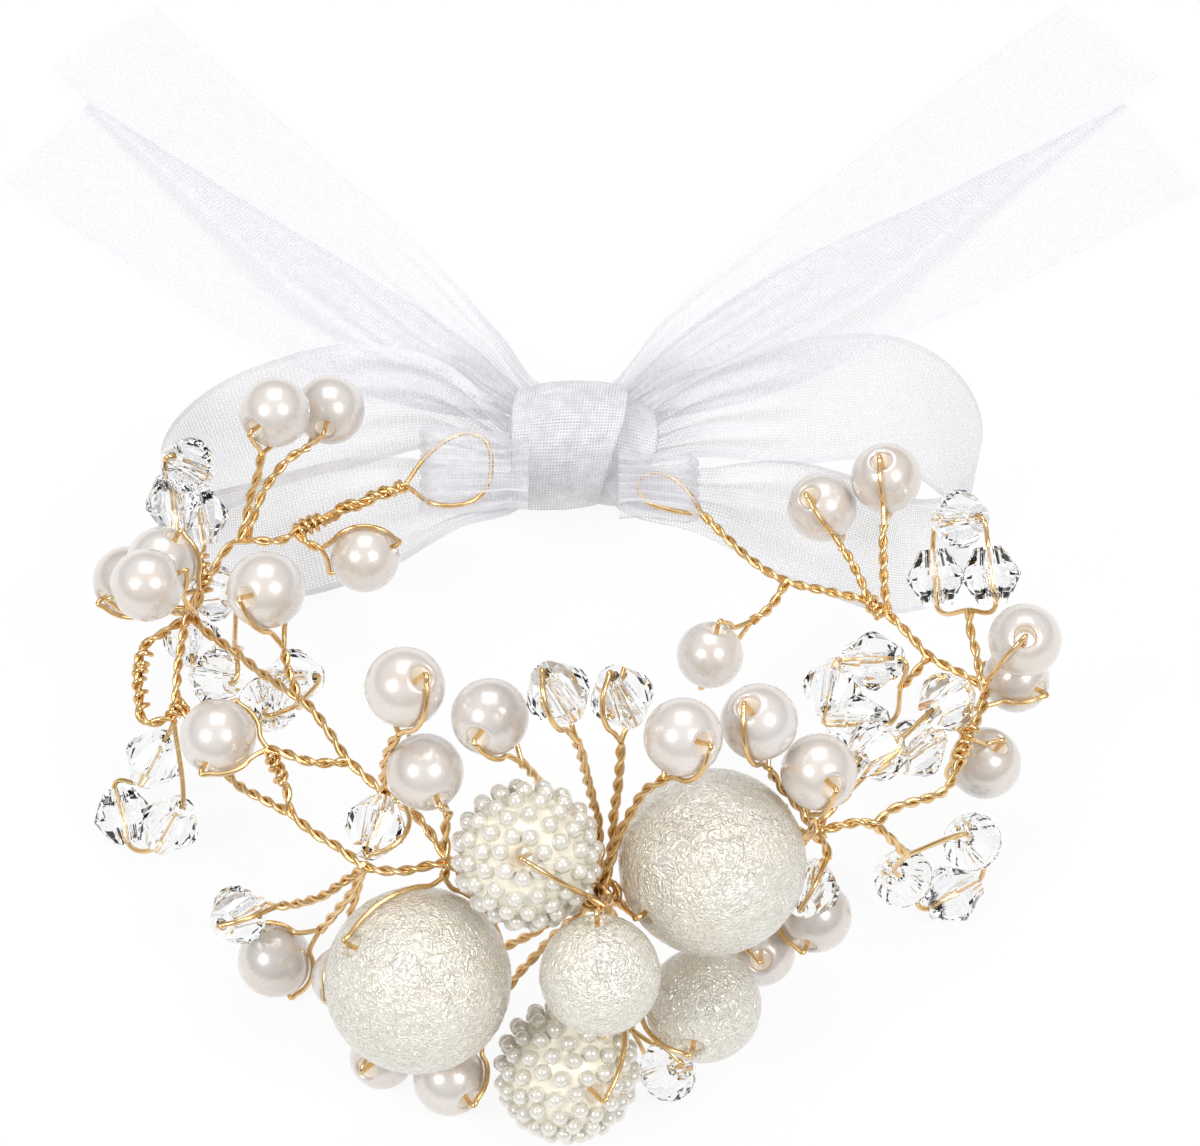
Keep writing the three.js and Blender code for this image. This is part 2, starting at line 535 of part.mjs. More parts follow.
// A closed sheet of ribbon, gathered into lengthways folds where it is drawn narrow
function ribbonGeometry(route) {
  const rows = ribbonRows(route);
  const columns = ribbonColumns;
  const corners = [];
  for (const { centre, across, normal, widthShare } of rows) {
    for (let j = 0; j <= columns; j += 1) {
      const share = j / columns - 1 / 2;
      const fold = foldDepth * (1 - widthShare) * Math.cos(2 * Math.PI * share * ribbonFolds);
      const middle = centre.clone()
        .addScaledVector(across, ribbonWidth * widthShare * share)
        .addScaledVector(normal, fold);
      corners.push(middle.clone().addScaledVector(normal, ribbonThickness / 2));
      corners.push(middle.clone().addScaledVector(normal, -ribbonThickness / 2));
    }
  }
  const faces = [];
  const corner = (row, column, under) => 2 * (row * (columns + 1) + column) + under;
  const quad = (a, b, c, d) => faces.push(a, b, c, a, c, d);
  for (let i = 0; i < rows.length - 1; i += 1) {
    for (let j = 0; j < columns; j += 1) {
      quad(corner(i, j, 0), corner(i + 1, j, 0), corner(i + 1, j + 1, 0), corner(i, j + 1, 0));
      quad(corner(i, j, 1), corner(i, j + 1, 1), corner(i + 1, j + 1, 1), corner(i + 1, j, 1));
    }
    quad(corner(i, 0, 1), corner(i + 1, 0, 1), corner(i + 1, 0, 0), corner(i, 0, 0));
    quad(corner(i, columns, 0), corner(i + 1, columns, 0),
      corner(i + 1, columns, 1), corner(i, columns, 1));
  }
  const last = rows.length - 1;
  for (let j = 0; j < columns; j += 1) {
    quad(corner(0, j, 0), corner(0, j + 1, 0), corner(0, j + 1, 1), corner(0, j, 1));
    quad(corner(last, j, 0), corner(last, j, 1), corner(last, j + 1, 1), corner(last, j + 1, 0));
  }
  const geometry = new THREE.BufferGeometry().setFromPoints(corners);
  geometry.setIndex(faces);
  geometry.computeVertexNormals();
  return geometry;
}

function addRibbons() {
  for (const { name, route } of ribbons) {
    addMesh(name, ribbonGeometry(route), ribbonLook);
  }
}

// A strap seen from the side: out from the knot, round in a half circle and back
function strapGeometry() {
  const outer = (strapSpacing + strapThickness) / 2;
  const inner = (strapSpacing - strapThickness) / 2;
  const turn = strapLength - outer;
  const outline = new THREE.Shape();
  outline.moveTo(0, -outer);
  outline.lineTo(turn, -outer);
  outline.absarc(turn, 0, outer, -Math.PI / 2, Math.PI / 2, false);
  outline.lineTo(0, outer);
  outline.lineTo(0, inner);
  outline.lineTo(turn, inner);
  outline.absarc(turn, 0, inner, Math.PI / 2, -Math.PI / 2, true);
  outline.lineTo(0, -inner);
  return new THREE.ExtrudeGeometry(outline, {
    depth: strapWidth, bevelEnabled: false, curveSegments: strapBendSides,
  });
}

function addStraps() {
  for (const { name, pixel, heightShare, towards } of straps) {
    const strap = addMesh(name, strapGeometry(), ribbonLook);
    strap.position.copy(placeOf([...pixel, heightShare]));
    strap.position.x += towards * wireGap;
    strap.position.y += (towards * strapWidth) / 2;
    strap.rotation.x = Math.PI / 2;
    strap.rotation.y = towards > 0 ? 0 : Math.PI;
  }
}

// The knot: an upright wrap with rounded edges and a flat back and front
function addKnot() {
  const outline = new THREE.Shape();
  const x = knotWidth / 2 - knotRounding;
  const y = knotHeight / 2 - knotRounding;
  outline.moveTo(-x, -y - knotRounding / 2);
  outline.lineTo(x, -y - knotRounding / 2);
  outline.lineTo(x + knotRounding / 2, -y);
  outline.lineTo(x + knotRounding / 2, y);
  outline.lineTo(x, y + knotRounding / 2);
  outline.lineTo(-x, y + knotRounding / 2);
  outline.lineTo(-x - knotRounding / 2, y);
  outline.lineTo(-x - knotRounding / 2, -y);
  const geometry = new THREE.ExtrudeGeometry(outline, {
    depth: knotDepth - knotRounding,
    bevelEnabled: true,
    bevelThickness: knotRounding / 2,
    bevelSize: knotRounding / 2,
    bevelSegments: 1,
  });
  const knot = addMesh("ribbon_knot", geometry, ribbonLook);
  knot.position.copy(placeOf(knotPlace));
  knot.rotation.x = Math.PI / 2;
}

addPearls();
addLargeBeads();
addLoneCrystals();
crystalLoops.forEach(addCrystalLoop);
addVine();
addRibbons();
addStraps();
addKnot();

// The origin is under the middle of the whole corsage, on the table
const corsage = new THREE.Group();
corsage.add(part);
corsage.updateMatrixWorld(true);
const extent = new THREE.Box3().setFromObject(corsage, true);
const middle = extent.getCenter(new THREE.Vector3());
part.position.set(-middle.x, -middle.y, -extent.min.z);

export default corsage;
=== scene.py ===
# Wrist corsage: a vine of twisted gold wire with pearls, cotton pearls, berry balls and cut crystals,
# closed by a bow of sheer ribbon. Everything is in metres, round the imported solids.
import json
import math
import random

import bmesh
import bpy
from mathutils import Matrix, Vector, noise
from mathutils.geometry import interpolate_bezier


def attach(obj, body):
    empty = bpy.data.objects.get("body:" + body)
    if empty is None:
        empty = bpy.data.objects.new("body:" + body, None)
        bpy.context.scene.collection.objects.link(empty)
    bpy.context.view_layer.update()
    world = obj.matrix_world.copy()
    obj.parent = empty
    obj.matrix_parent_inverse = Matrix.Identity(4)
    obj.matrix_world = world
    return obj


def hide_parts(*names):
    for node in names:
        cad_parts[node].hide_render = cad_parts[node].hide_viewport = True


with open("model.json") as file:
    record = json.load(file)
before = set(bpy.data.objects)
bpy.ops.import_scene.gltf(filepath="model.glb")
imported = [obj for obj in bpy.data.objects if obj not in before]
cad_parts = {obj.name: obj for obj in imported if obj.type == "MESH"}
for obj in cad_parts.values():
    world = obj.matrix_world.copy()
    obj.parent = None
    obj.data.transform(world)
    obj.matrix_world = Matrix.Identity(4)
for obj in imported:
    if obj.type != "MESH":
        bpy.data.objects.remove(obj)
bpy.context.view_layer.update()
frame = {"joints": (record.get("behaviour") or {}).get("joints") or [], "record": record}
mm = 0.001
noise.seed_set(7)  # without it noise_vector, which sways the wire, differs from run to run

# Where the photograph was taken from; every pixel below is in its 1200 x 1146 frame
picture = {
    "distance": 322 * mm,
    "elevation": math.radians(58),
    "focalPixels": 3600,
    "middlePixel": (600, 573),
    "widthPixels": 1200,
    "sensorWidth": 36,
    "firstBead": (418, 980, 0.32),  # the left large bead's middle, which ties the picture to the solids
}
bandWidth = 50 * mm  # the beaded band's height, which the height shares follow
ribbonWidth = 12.5 * mm

viewUp = Vector((0, math.sin(picture["elevation"]), math.cos(picture["elevation"])))
viewInto = Vector((0, math.cos(picture["elevation"]), -math.sin(picture["elevation"])))
eye = viewInto * -picture["distance"]
partShift = Vector((0, 0, 0))


# A pixel and the height above the table as a share of the band's width, as a place on the part
def placeOf(point):
    x, y, heightShare = point[:3]
    middleX, middleY = picture["middlePixel"]
    sight = viewInto + viewUp * ((middleY - y) / picture["focalPixels"])
    sight.x += (x - middleX) / picture["focalPixels"]
    return eye + sight * ((bandWidth * heightShare - eye.z) / sight.z) + partShift


def placesOf(route):
    return [placeOf(point) for point in route]


joints = {joint["child"][:-len("_body")]: joint for joint in frame["joints"]}
partShift = Vector(joints["cotton_pearl_large_left"]["pos_m"]) - placeOf(picture["firstBead"])

# Routes of the twigs of each vine, from its stem to where the twist opens round the bead, as in the solids
twigs = {
    "left": {
        "pearl_01": [(240, 541, 0.22), (250, 500, 0.28), (258, 472, 0.34), (262, 454, 0.38)],
        "pearl_02": [(246, 538, 0.22), (264, 490, 0.25), (288, 460, 0.28), (308, 447, 0.29)],
        "pearl_03": [(193, 614, 0.25), (192, 612, 0.32), (188, 608, 0.38)],
        "pearl_04": [(191, 615, 0.254), (199, 600, 0.29), (199, 590, 0.31)],
        "pearl_05": [(195, 613, 0.246), (178, 612, 0.22), (166, 606, 0.2)],
        "pearl_06": [(300, 700, 0.38), (288, 668, 0.42), (284, 648, 0.45)],
        "pearl_07": [(296, 533, 0.2), (310, 545, 0.19), (321, 549, 0.18)],
        "pearl_08": [(350, 762, 0.42), (310, 762, 0.42), (285, 754, 0.41), (268, 749, 0.4)],
        "pearl_09": [(383, 791, 0.43), (384, 768, 0.52), (388, 748, 0.61), (399, 734, 0.66)],
        "pearl_11": [(447, 858, 0.44), (446, 840, 0.46), (446, 824, 0.5), (448, 812, 0.54)],
        "pearl_12": [(365, 866, 0.38), (350, 895, 0.28), (331, 918, 0.18), (320, 930, 0.13)],
        "pearl_15": [(363, 867, 0.384), (357, 890, 0.28), (350, 918, 0.18), (349, 930, 0.15)],
        "cotton_pearl_large_left": [(447, 862, 0.43), (446, 870, 0.42), (444, 877, 0.42)],
        "crystal_left_front": [(400, 804, 0.435), (404, 802, 0.47), (404, 800, 0.5)],
        "crystal_left_bottom": [(367, 865, 0.376), (335, 888, 0.31), (300, 903, 0.24), (278, 906, 0.21)],
        "crystals_left_top": [(205, 592, 0.24), (204, 575, 0.25), (200, 556, 0.26)],
        "crystals_left_inner": [(238, 654, 0.31), (240, 651, 0.26), (235, 644, 0.22)],
        "crystals_left_pair": [(300, 699, 0.38), (300, 704, 0.33), (297, 706, 0.29)],
        "crystals_left_low": [(188, 616, 0.26), (180, 650, 0.25), (176, 700, 0.24), (174, 722, 0.24)],
    },
    "hub": {
        "pearl_10": [(592, 896, 0.4), (583, 862, 0.38), (564, 812, 0.4), (543, 786, 0.46),
            (522, 763, 0.61)],
        "pearl_13": [(587, 899, 0.392), (520, 940, 0.2), (440, 985, 0.08), (412, 1012, 0.06)],
        "pearl_14": [(596, 899, 0.402), (540, 950, 0.22), (500, 1000, 0.11), (484, 1032, 0.08)],
        "pearl_16": [(603, 893, 0.42), (616, 845, 0.5), (642, 795, 0.61), (665, 778, 0.67)],
        "pearl_26": [(601, 894, 0.424), (620, 906, 0.3), (690, 904, 0.17), (724, 916, 0.13)],
        "cotton_pearl_large_right": [(605, 892, 0.416), (608, 897, 0.4), (611, 900, 0.39)],
        "cotton_pearl_small_front": [(602, 893, 0.42), (603, 897, 0.45), (603, 903, 0.46)],
        "cotton_pearl_small_low": [(604, 895, 0.426), (618, 930, 0.25), (630, 965, 0.2),
            (637, 985, 0.18)],
        "berry_ball_upper": [(600, 892, 0.414), (606, 898, 0.46), (604, 906, 0.505)],
        "berry_ball_lower": [(606, 894, 0.422), (600, 940, 0.25), (608, 985, 0.18), (612, 1000, 0.17)],
        "crystal_top_left": [(602, 891, 0.428), (600, 845, 0.42), (593, 800, 0.53), (577, 742, 0.77)],
        "crystal_top_right": [(603, 895, 0.412), (611, 845, 0.48), (617, 790, 0.58), (621, 742, 0.67)],
        "crystal_front_bottom": [(605, 895, 0.43), (612, 945, 0.22), (622, 1000, 0.12),
            (632, 1030, 0.08)],
    },
    "right": {
        "pearl_17": [(812, 832, 0.41), (799, 806, 0.48), (778, 783, 0.51), (768, 768, 0.58)],
        "pearl_18": [(810, 833, 0.414), (813, 825, 0.46), (809, 816, 0.51)],
        "pearl_19": [(787, 581, 0.23), (775, 601, 0.23), (762, 614, 0.24), (752, 621, 0.24)],
        "pearl_20": [(869, 601, 0.25), (858, 575, 0.26), (847, 554, 0.27), (840, 546, 0.27)],
        "pearl_21": [(888, 614, 0.26), (884, 575, 0.3), (883, 545, 0.33), (884, 525, 0.34)],
        "pearl_22": [(985, 690, 0.3), (984, 687, 0.34), (987, 680, 0.37)],
        "pearl_23": [(984, 700, 0.3), (981, 705, 0.29), (977, 709, 0.28)],
        "pearl_24": [(975, 722, 0.31), (966, 729, 0.33), (962, 733, 0.34)],
        "pearl_25": [(814, 831, 0.406), (795, 850, 0.3), (778, 872, 0.21), (779, 885, 0.19)],
        "crystal_right_bottom": [(809, 831, 0.404), (824, 844, 0.38), (828, 857, 0.35)],
        "crystals_right_top": [(983, 690, 0.3), (977, 660, 0.31), (972, 635, 0.31), (969, 610, 0.31)],
        "crystals_right_inner": [(927, 659, 0.28), (915, 674, 0.29), (901, 687, 0.31)],
        "crystals_right_middle": [(813, 834, 0.416), (832, 808, 0.43), (848, 793, 0.46)],
        "crystals_right_low": [(874, 824, 0.41), (890, 839, 0.37), (907, 855, 0.31)],
    },
}
twigOf = {node: route for routes in twigs.values() for node, route in routes.items()}

# Crystals that share a strand loop, in the strand's order
crystalLoops = {
    "crystals_left_top": [(174, 503, 0.34), (187, 466, 0.38), (200, 516, 0.27)],
    "crystals_left_inner": [(214, 593, 0.12), (192, 639, 0.14), (216, 678, 0.18)],
    "crystals_left_pair": [(268, 704, 0.25), (294, 678, 0.2)],
    "crystals_left_low": [(154, 759, 0.17), (123, 815, 0.06), (170, 825, 0.11)],
    "crystals_right_top": [(936, 578, 0.27), (960, 519, 0.38), (991, 576, 0.37)],
    "crystals_right_inner": [(873, 661, 0.33), (832, 688, 0.27), (858, 724, 0.35)],
    "crystals_right_middle": [(876, 751, 0.46), (917, 748, 0.38), (947, 702, 0.41)],
    "crystals_right_low": [(903, 878, 0.16), (952, 894, 0.05), (972, 842, 0.17)],
}

stems = {
    "left": [
        [(298, 531, 0.2), (280, 541, 0.21), (238, 541, 0.22), (215, 570, 0.235), (193, 614, 0.25),
         (238, 654, 0.31), (284, 688, 0.37), (302, 700, 0.38), (325, 726, 0.4), (350, 762, 0.42),
         (381, 790, 0.43), (419, 818, 0.44), (447, 858, 0.44)],
        [(447, 856, 0.44), (460, 876, 0.4), (500, 892, 0.32), (545, 897, 0.31), (568, 896, 0.35)],
        [(268, 751, 0.4), (285, 785, 0.36), (293, 815, 0.33), (335, 845, 0.36), (365, 866, 0.38),
         (400, 871, 0.4), (447, 862, 0.43)],
        [(178, 700, 0.24), (205, 740, 0.25), (233, 779, 0.28), (255, 795, 0.31), (293, 815, 0.33)],
        [(193, 616, 0.25), (165, 632, 0.26), (142, 650, 0.26), (140, 690, 0.25), (145, 722, 0.24),
         (174, 716, 0.24)],
        [(408, 484, 0.22), (350, 507, 0.2), (296, 532, 0.2)],
    ],
    "hub": [
        [(582, 897, 0.38), (592, 896, 0.4), (603, 893, 0.42), (608, 889, 0.41)],
    ],
    "right": [
        [(628, 888, 0.3), (662, 856, 0.24), (700, 832, 0.25), (760, 826, 0.32), (790, 829, 0.37),
         (812, 832, 0.41), (861, 822, 0.42), (874, 824, 0.41), (892, 809, 0.4), (920, 800, 0.38),
         (946, 790, 0.36), (965, 744, 0.33), (978, 720, 0.31), (985, 690, 0.3), (963, 675, 0.3),
         (929, 656, 0.28), (913, 638, 0.27), (890, 617, 0.26), (869, 601, 0.25), (835, 594, 0.24),
         (787, 581, 0.23), (754, 562, 0.22), (725, 536, 0.2), (702, 514, 0.21)],
    ],
}

# The eyelets at the vine's two ends, each one strand bent round
eyelets = {
    "left": [(405, 485, 0.22), (428, 455, 0.23), (462, 434, 0.23), (486, 442, 0.23), (489, 482, 0.23),
        (470, 502, 0.23), (435, 504, 0.23), (405, 485, 0.22)],
    "right": [(702, 514, 0.21), (690, 494, 0.225), (672, 478, 0.23), (650, 474, 0.23), (638, 484, 0.23),
        (645, 500, 0.225), (670, 510, 0.22), (702, 514, 0.21)],
}

# Loose wire wound over a stem: the route, then the radius and pitch in millimetres and the strands
windings = {
    "left": [
        ([(402, 486, 0.22), (350, 507, 0.2), (296, 532, 0.2)], 0.46, 3.1, 2),
        ([(324, 519, 0.2), (310, 525, 0.2), (296, 532, 0.2)], 0.62, 0.6, 1),
        ([(404, 486, 0.22), (390, 491, 0.215)], 0.5, 0.8, 1),
        ([(149, 642, 0.262), (141, 664, 0.257), (140, 690, 0.25), (144, 712, 0.244)], 0.5, 1.15, 1),
        ([(141, 664, 0.257), (140, 676, 0.254)], 0.62, 0.55, 1),
        ([(186, 704, 0.242), (178, 708, 0.24), (172, 718, 0.24)], 0.52, 0.7, 1),
        ([(205, 592, 0.24), (204, 575, 0.25), (200, 556, 0.26)], 0.5, 0.8, 1),
        ([(270, 753, 0.4), (283, 782, 0.365)], 0.5, 1.6, 2),
    ],
    "hub": [
        ([(582, 897, 0.38), (592, 896, 0.4), (603, 893, 0.42), (608, 889, 0.41)], 0.66, 0.62, 1),
        ([(590, 897, 0.39), (600, 894, 0.42), (612, 892, 0.41)], 0.9, 1.1, 2),
    ],
    "right": [
        ([(957, 762, 0.34), (965, 744, 0.33), (972, 731, 0.32)], 0.52, 0.75, 1),
        ([(883, 617, 0.262), (874, 606, 0.255), (869, 601, 0.25)], 0.55, 0.65, 1),
        ([(812, 832, 0.41), (823, 829, 0.412)], 0.6, 0.6, 1),
    ],
}

# Along each ribbon: pixel, height share, lean in degrees and gathered width as a share of the full width
ribbonRoutes = {
    "ribbon_tail_left_upper": [(504, 384, 0.18, 10, 0.36), (472, 356, 0.11, 5, 0.55),
        (430, 330, 0.09, 3, 0.8), (335, 248, 0.08, 0, 1), (220, 145, 0.045, 0, 1),
        (103, 35, 0.028, 0, 1)],
    "ribbon_tail_left_lower": [(504, 405, 0.09, 10, 0.4), (420, 364, 0.07, 5, 0.85),
        (290, 297, 0.03, 0, 1), (160, 215, 0.012, 0, 1), (46, 141, 0.01, 0, 1)],
    "ribbon_tail_right_upper": [(641, 386, 0.19, -10, 0.4), (674, 362, 0.13, -5, 0.6),
        (712, 335, 0.11, -3, 0.8), (830, 253, 0.08, 0, 1), (960, 150, 0.045, 0, 1),
        (1114, 38, 0.028, 0, 1)],
    "ribbon_tail_right_lower": [(641, 405, 0.09, -10, 0.4), (725, 362, 0.07, -5, 0.85),
        (845, 300, 0.03, 0, 1), (980, 238, 0.012, 0, 1), (1162, 147, 0.01, 0, 1)],
    "ribbon_loop_left": [(504, 442, 0.115, 110, 0.34), (430, 406, 0.13, 118, 0.72),
        (340, 408, 0.13, 120, 1), (255, 432, 0.13, 116, 1), (195, 470, 0.13, 105, 1),
        (172, 512, 0.13, 90, 1), (190, 542, 0.125, 78, 1), (240, 546, 0.12, 68, 1),
        (300, 534, 0.12, 62, 1), (380, 510, 0.12, 60, 0.9), (450, 496, 0.11, 65, 0.55),
        (504, 494, 0.105, 75, 0.36)],
    "ribbon_loop_right": [(641, 441, 0.12, 70, 0.36), (710, 414, 0.13, 62, 0.7), (800, 402, 0.13, 60, 1),
        (880, 398, 0.13, 60, 1), (940, 430, 0.13, 70, 1), (972, 485, 0.13, 88, 1),
        (955, 540, 0.125, 102, 1), (905, 556, 0.12, 112, 1), (850, 540, 0.12, 118, 1),
        (780, 516, 0.12, 118, 0.9), (705, 500, 0.11, 115, 0.55), (641, 494, 0.105, 105, 0.36)],
}


# Materials

# Gives each input a plain value, or joins another node's output to it
def setInputs(node, values):
    for key, value in values.items():
        if isinstance(value, bpy.types.NodeSocket):
            node.id_data.links.new(value, node.inputs[key])
        else:
            node.inputs[key].default_value = value


def addNode(tree, kind, values=None, **settings):
    node = tree.nodes.new(kind)
    for name, value in settings.items():
        setattr(node, name, value)
    setInputs(node, values or {})
    return node


def setShader(tree, values):
    setInputs(tree.nodes["Principled BSDF"], values)


def newMaterial(name, values):
    material = bpy.data.materials.new(name)
    material.use_nodes = True
    setShader(material.node_tree, values)
    return material


def doMath(tree, operation, *values):
    return addNode(tree, "ShaderNodeMath", dict(enumerate(values)), operation=operation).outputs[0]


# Noise in the piece's own space, with features of a real size
def addNoise(tree, featureSize, detail=2, bend=0):
    values = {"Scale": 1 / featureSize, "Detail": detail, "Roughness": 0.5, "Distortion": bend}
    values["Vector"] = addNode(tree, "ShaderNodeTexCoord").outputs["Object"]
    return addNode(tree, "ShaderNodeTexNoise", values).outputs["Fac"]


def addRamp(tree, source, stops):
    ramp = addNode(tree, "ShaderNodeValToRGB", {"Fac": source})
    elements = ramp.color_ramp.elements
    while len(elements) < len(stops):
        elements.new(0.5)
    for element, (position, colour) in zip(elements, stops):
        element.position = position
        element.color = (*colour, 1)
    return ramp.outputs["Color"]


def addRange(tree, source, low, high, newLow, newHigh):
    values = {"Value": source, "From Min": low, "From Max": high, "To Min": newLow, "To Max": newHigh}
    return addNode(tree, "ShaderNodeMapRange", values).outputs["Result"]


def addTints(tree, pattern, tints):
    setShader(tree, {"Base Color": addRamp(tree, pattern, tints)})


# Roughness that goes with a pattern, over the span in which most of the pattern's values lie
def addPolish(tree, pattern, roughness, span):
    setShader(tree, {"Roughness": addRange(tree, pattern, *span, *roughness)})


def addBump(tree, height, strength, distance):
    values = {"Height": height, "Strength": strength, "Distance": distance}
    normal = addNode(tree, "ShaderNodeBump", values).outputs["Normal"]
    setShader(tree, {"Normal": normal})
    return normal


# A material with the patterns its finish lists. A noise is given by its size and detail; without a
# noise of their own the tints follow the grain
def makeMaterial(name, finish):
    material = newMaterial(name, finish["shader"])
    tree = material.node_tree
    grain = addNoise(tree, *finish["grain"])
    if "tints" in finish:
        pattern = addNoise(tree, *finish["tintNoise"]) if "tintNoise" in finish else grain
        addTints(tree, pattern, finish["tints"])
    if "roughness" in finish:
        addPolish(tree, grain, finish["roughness"], finish.get("span", (0.3, 0.7)))
    if "bump" in finish:
        addBump(tree, grain, *finish["bump"])
    return material


pearlFinish = {
    "shader": {"Metallic": 0.3, "Coat Weight": 1.0, "Coat Roughness": 0.2, "Coat IOR": 1.7},
    "tints": [(0.3, (0.73, 0.65, 0.58)), (0.5, (0.76, 0.70, 0.645)), (0.7, (0.76, 0.72, 0.69))],
    "tintNoise": (4 * mm, 2),
    "grain": (2 * mm, 2),
    "roughness": (0.24, 0.3),
}
# The bore wall glows faintly cream: a painted glow, not a lamp, that stands in for light reaching into the
# bore
boreGlowFinish = {
    "shader": {"Base Color": (0.97, 0.94, 0.88, 1), "Emission Color": (1, 0.97, 0.92, 1),
               "Emission Strength": 0.12},
    "grain": (0.4 * mm, 2),
    "bump": (0.2, 0.02 * mm),
    "roughness": (0.5, 0.7),
}
berryCoreFinish = {
    "shader": {"Base Color": (0.95, 0.91, 0.77, 1), "Roughness": 0.35, "Coat Weight": 0.4},
    "grain": (0.6 * mm, 3),
    "bump": (0.4, 0.05 * mm),
}
berrySeedFinish = {
    "shader": {"Metallic": 0.25, "Coat Weight": 1.0, "Coat Roughness": 0.05, "Coat IOR": 2.0},
    "tints": [(0.35, (0.79, 0.75, 0.66)), (0.65, (0.85, 0.82, 0.75))],
    "grain": (1.5 * mm, 2),
    "roughness": (0.18, 0.3),
}
crystalFinish = {
    "shader": {"Base Color": (0.99, 0.995, 1.0, 1), "Roughness": 0.0, "IOR": 1.52,
               "Transmission Weight": 1.0},
    "grain": (2 * mm, 3),
    "roughness": (0.0, 0.012),
    "span": (0.5, 0.8),
}
wireFinish = {
    "shader": {"Metallic": 1.0},
    "tints": [(0.3, (0.76, 0.49, 0.20)), (0.5, (0.83, 0.57, 0.27)), (0.7, (0.89, 0.66, 0.37))],
    "tintNoise": (1.2 * mm, 3),
    "grain": (0.25 * mm, 2),  # the fine marks left by drawing the wire
    "bump": (0.1, 0.005 * mm),
    "roughness": (0.14, 0.26),
}
cottonFinish = {
    "shader": {"Metallic": 0.45, "Coat Weight": 1.0, "Coat Roughness": 0.12, "Coat IOR": 1.9},
    "tints": [(0.3, (0.87, 0.82, 0.69)), (0.7, (0.89, 0.86, 0.77))],
    "tintNoise": (3 * mm, 3),
    "creaseSize": 0.85 * mm,
    "creaseBend": 1.4,
    "creaseDetail": 1.5,
    "creaseLayers": [(1, 4.0), (0.55, 2.4)],  # share of the creases' size, and height
    "bump": (1.0, 0.12 * mm),
    "roughness": (0.16, 0.3),
    "span": (0.2, 1.2),
}


# Crinkled lacquer, whose creases follow the middle value of a bent noise, in two sizes
def makeCottonMaterial():
    material = newMaterial("crinkledLacquer", cottonFinish["shader"])
    tree = material.node_tree
    addTints(tree, addNoise(tree, *cottonFinish["tintNoise"]), cottonFinish["tints"])
    creases = []
    for share, high in cottonFinish["creaseLayers"]:
        folds = addNoise(tree, cottonFinish["creaseSize"] * share, cottonFinish["creaseDetail"],
                         cottonFinish["creaseBend"])
        ridge = doMath(tree, "ABSOLUTE", doMath(tree, "SUBTRACT", folds, 0.5))
        creases.append(doMath(tree, "MULTIPLY", ridge, high))
    height = doMath(tree, "ADD", *creases)
    setShader(tree, {"Coat Normal": addBump(tree, height, *cottonFinish["bump"])})
    addPolish(tree, height, cottonFinish["roughness"], cottonFinish["span"])
    return material


# Lengths without mm are in the cloth's own millimetres, which its UV map holds
organza = {
    "shader": {"Roughness": 0.55, "Sheen Weight": 0.25, "Sheen Roughness": 0.4, "Specular IOR Level": 0.4},
    "threadPitch": 0.27,
    "threadWaver": 0.12,
    "threadBlur": 0.35,
    "openShare": 0.45,
    "slubSize": 1.25,
    "slubSpan": (0.25, 0.75),
    "slubShare": 0.15,  # how far thick and thin places differ in opacity
    "selvageWidth": 0.55,
    "selvageBlur": 0.1,
    "selvageOpacity": 0.65,
    "bump": (0.5, 0.05 * mm),
}
ribbonFinish = {"opacity": 0.55, "tints": [(0.3, (0.74, 0.74, 0.785)), (0.7, (0.82, 0.82, 0.855))]}
# The knot's gathered cloth is denser, and its tints are painted lighter than the ribbon's to offset the
# shade that falls in the knot
gatheredPaintedLightFinish = {"opacity": 0.75, "tints": [(0.3, (0.80, 0.80, 0.84)), (0.7, (0.88, 0.88, 0.91))]}


# How much thread lies along one direction of the cloth, from 0 between threads to 1 on one
def addThread(tree, along, slub):
    wavering = doMath(tree, "MULTIPLY_ADD", slub, organza["threadWaver"], along)
    wave = doMath(tree, "SINE", doMath(tree, "MULTIPLY", wavering, 2 * math.pi / organza["threadPitch"]))
    edge = organza["openShare"] * 2 - 1
    return addRange(tree, wave, edge - organza["threadBlur"], edge + organza["threadBlur"], 0, 1)


def makeOrganzaMaterial(name, finish):
    material = newMaterial(name, organza["shader"])
    tree = material.node_tree
    cloth = addNode(tree, "ShaderNodeUVMap", uv_map="cloth").outputs["UV"]
    across, along, _ = addNode(tree, "ShaderNodeSeparateXYZ", {0: cloth}).outputs
    values = {"Vector": cloth, "Scale": 1 / organza["slubSize"], "Detail": 3, "Roughness": 0.6}
    slub = addNode(tree, "ShaderNodeTexNoise", values).outputs["Fac"]
    addTints(tree, slub, finish["tints"])
    thread = doMath(tree, "MAXIMUM", addThread(tree, across, slub), addThread(tree, along, slub))
    thin, thick = [finish["opacity"] * (1 + share * organza["slubShare"]) for share in (-1, 1)]
    cover = doMath(tree, "MULTIPLY", thread, addRange(tree, slub, *organza["slubSpan"], thin, thick))
    inner = ribbonWidth / mm / 2 - organza["selvageWidth"]
    selvage = addRange(tree, doMath(tree, "ABSOLUTE", across), inner - organza["selvageBlur"],
                       inner + organza["selvageBlur"], 0, organza["selvageOpacity"])
    setShader(tree, {"Alpha": doMath(tree, "MAXIMUM", cover, selvage)})
    addBump(tree, thread, *organza["bump"])
    return material


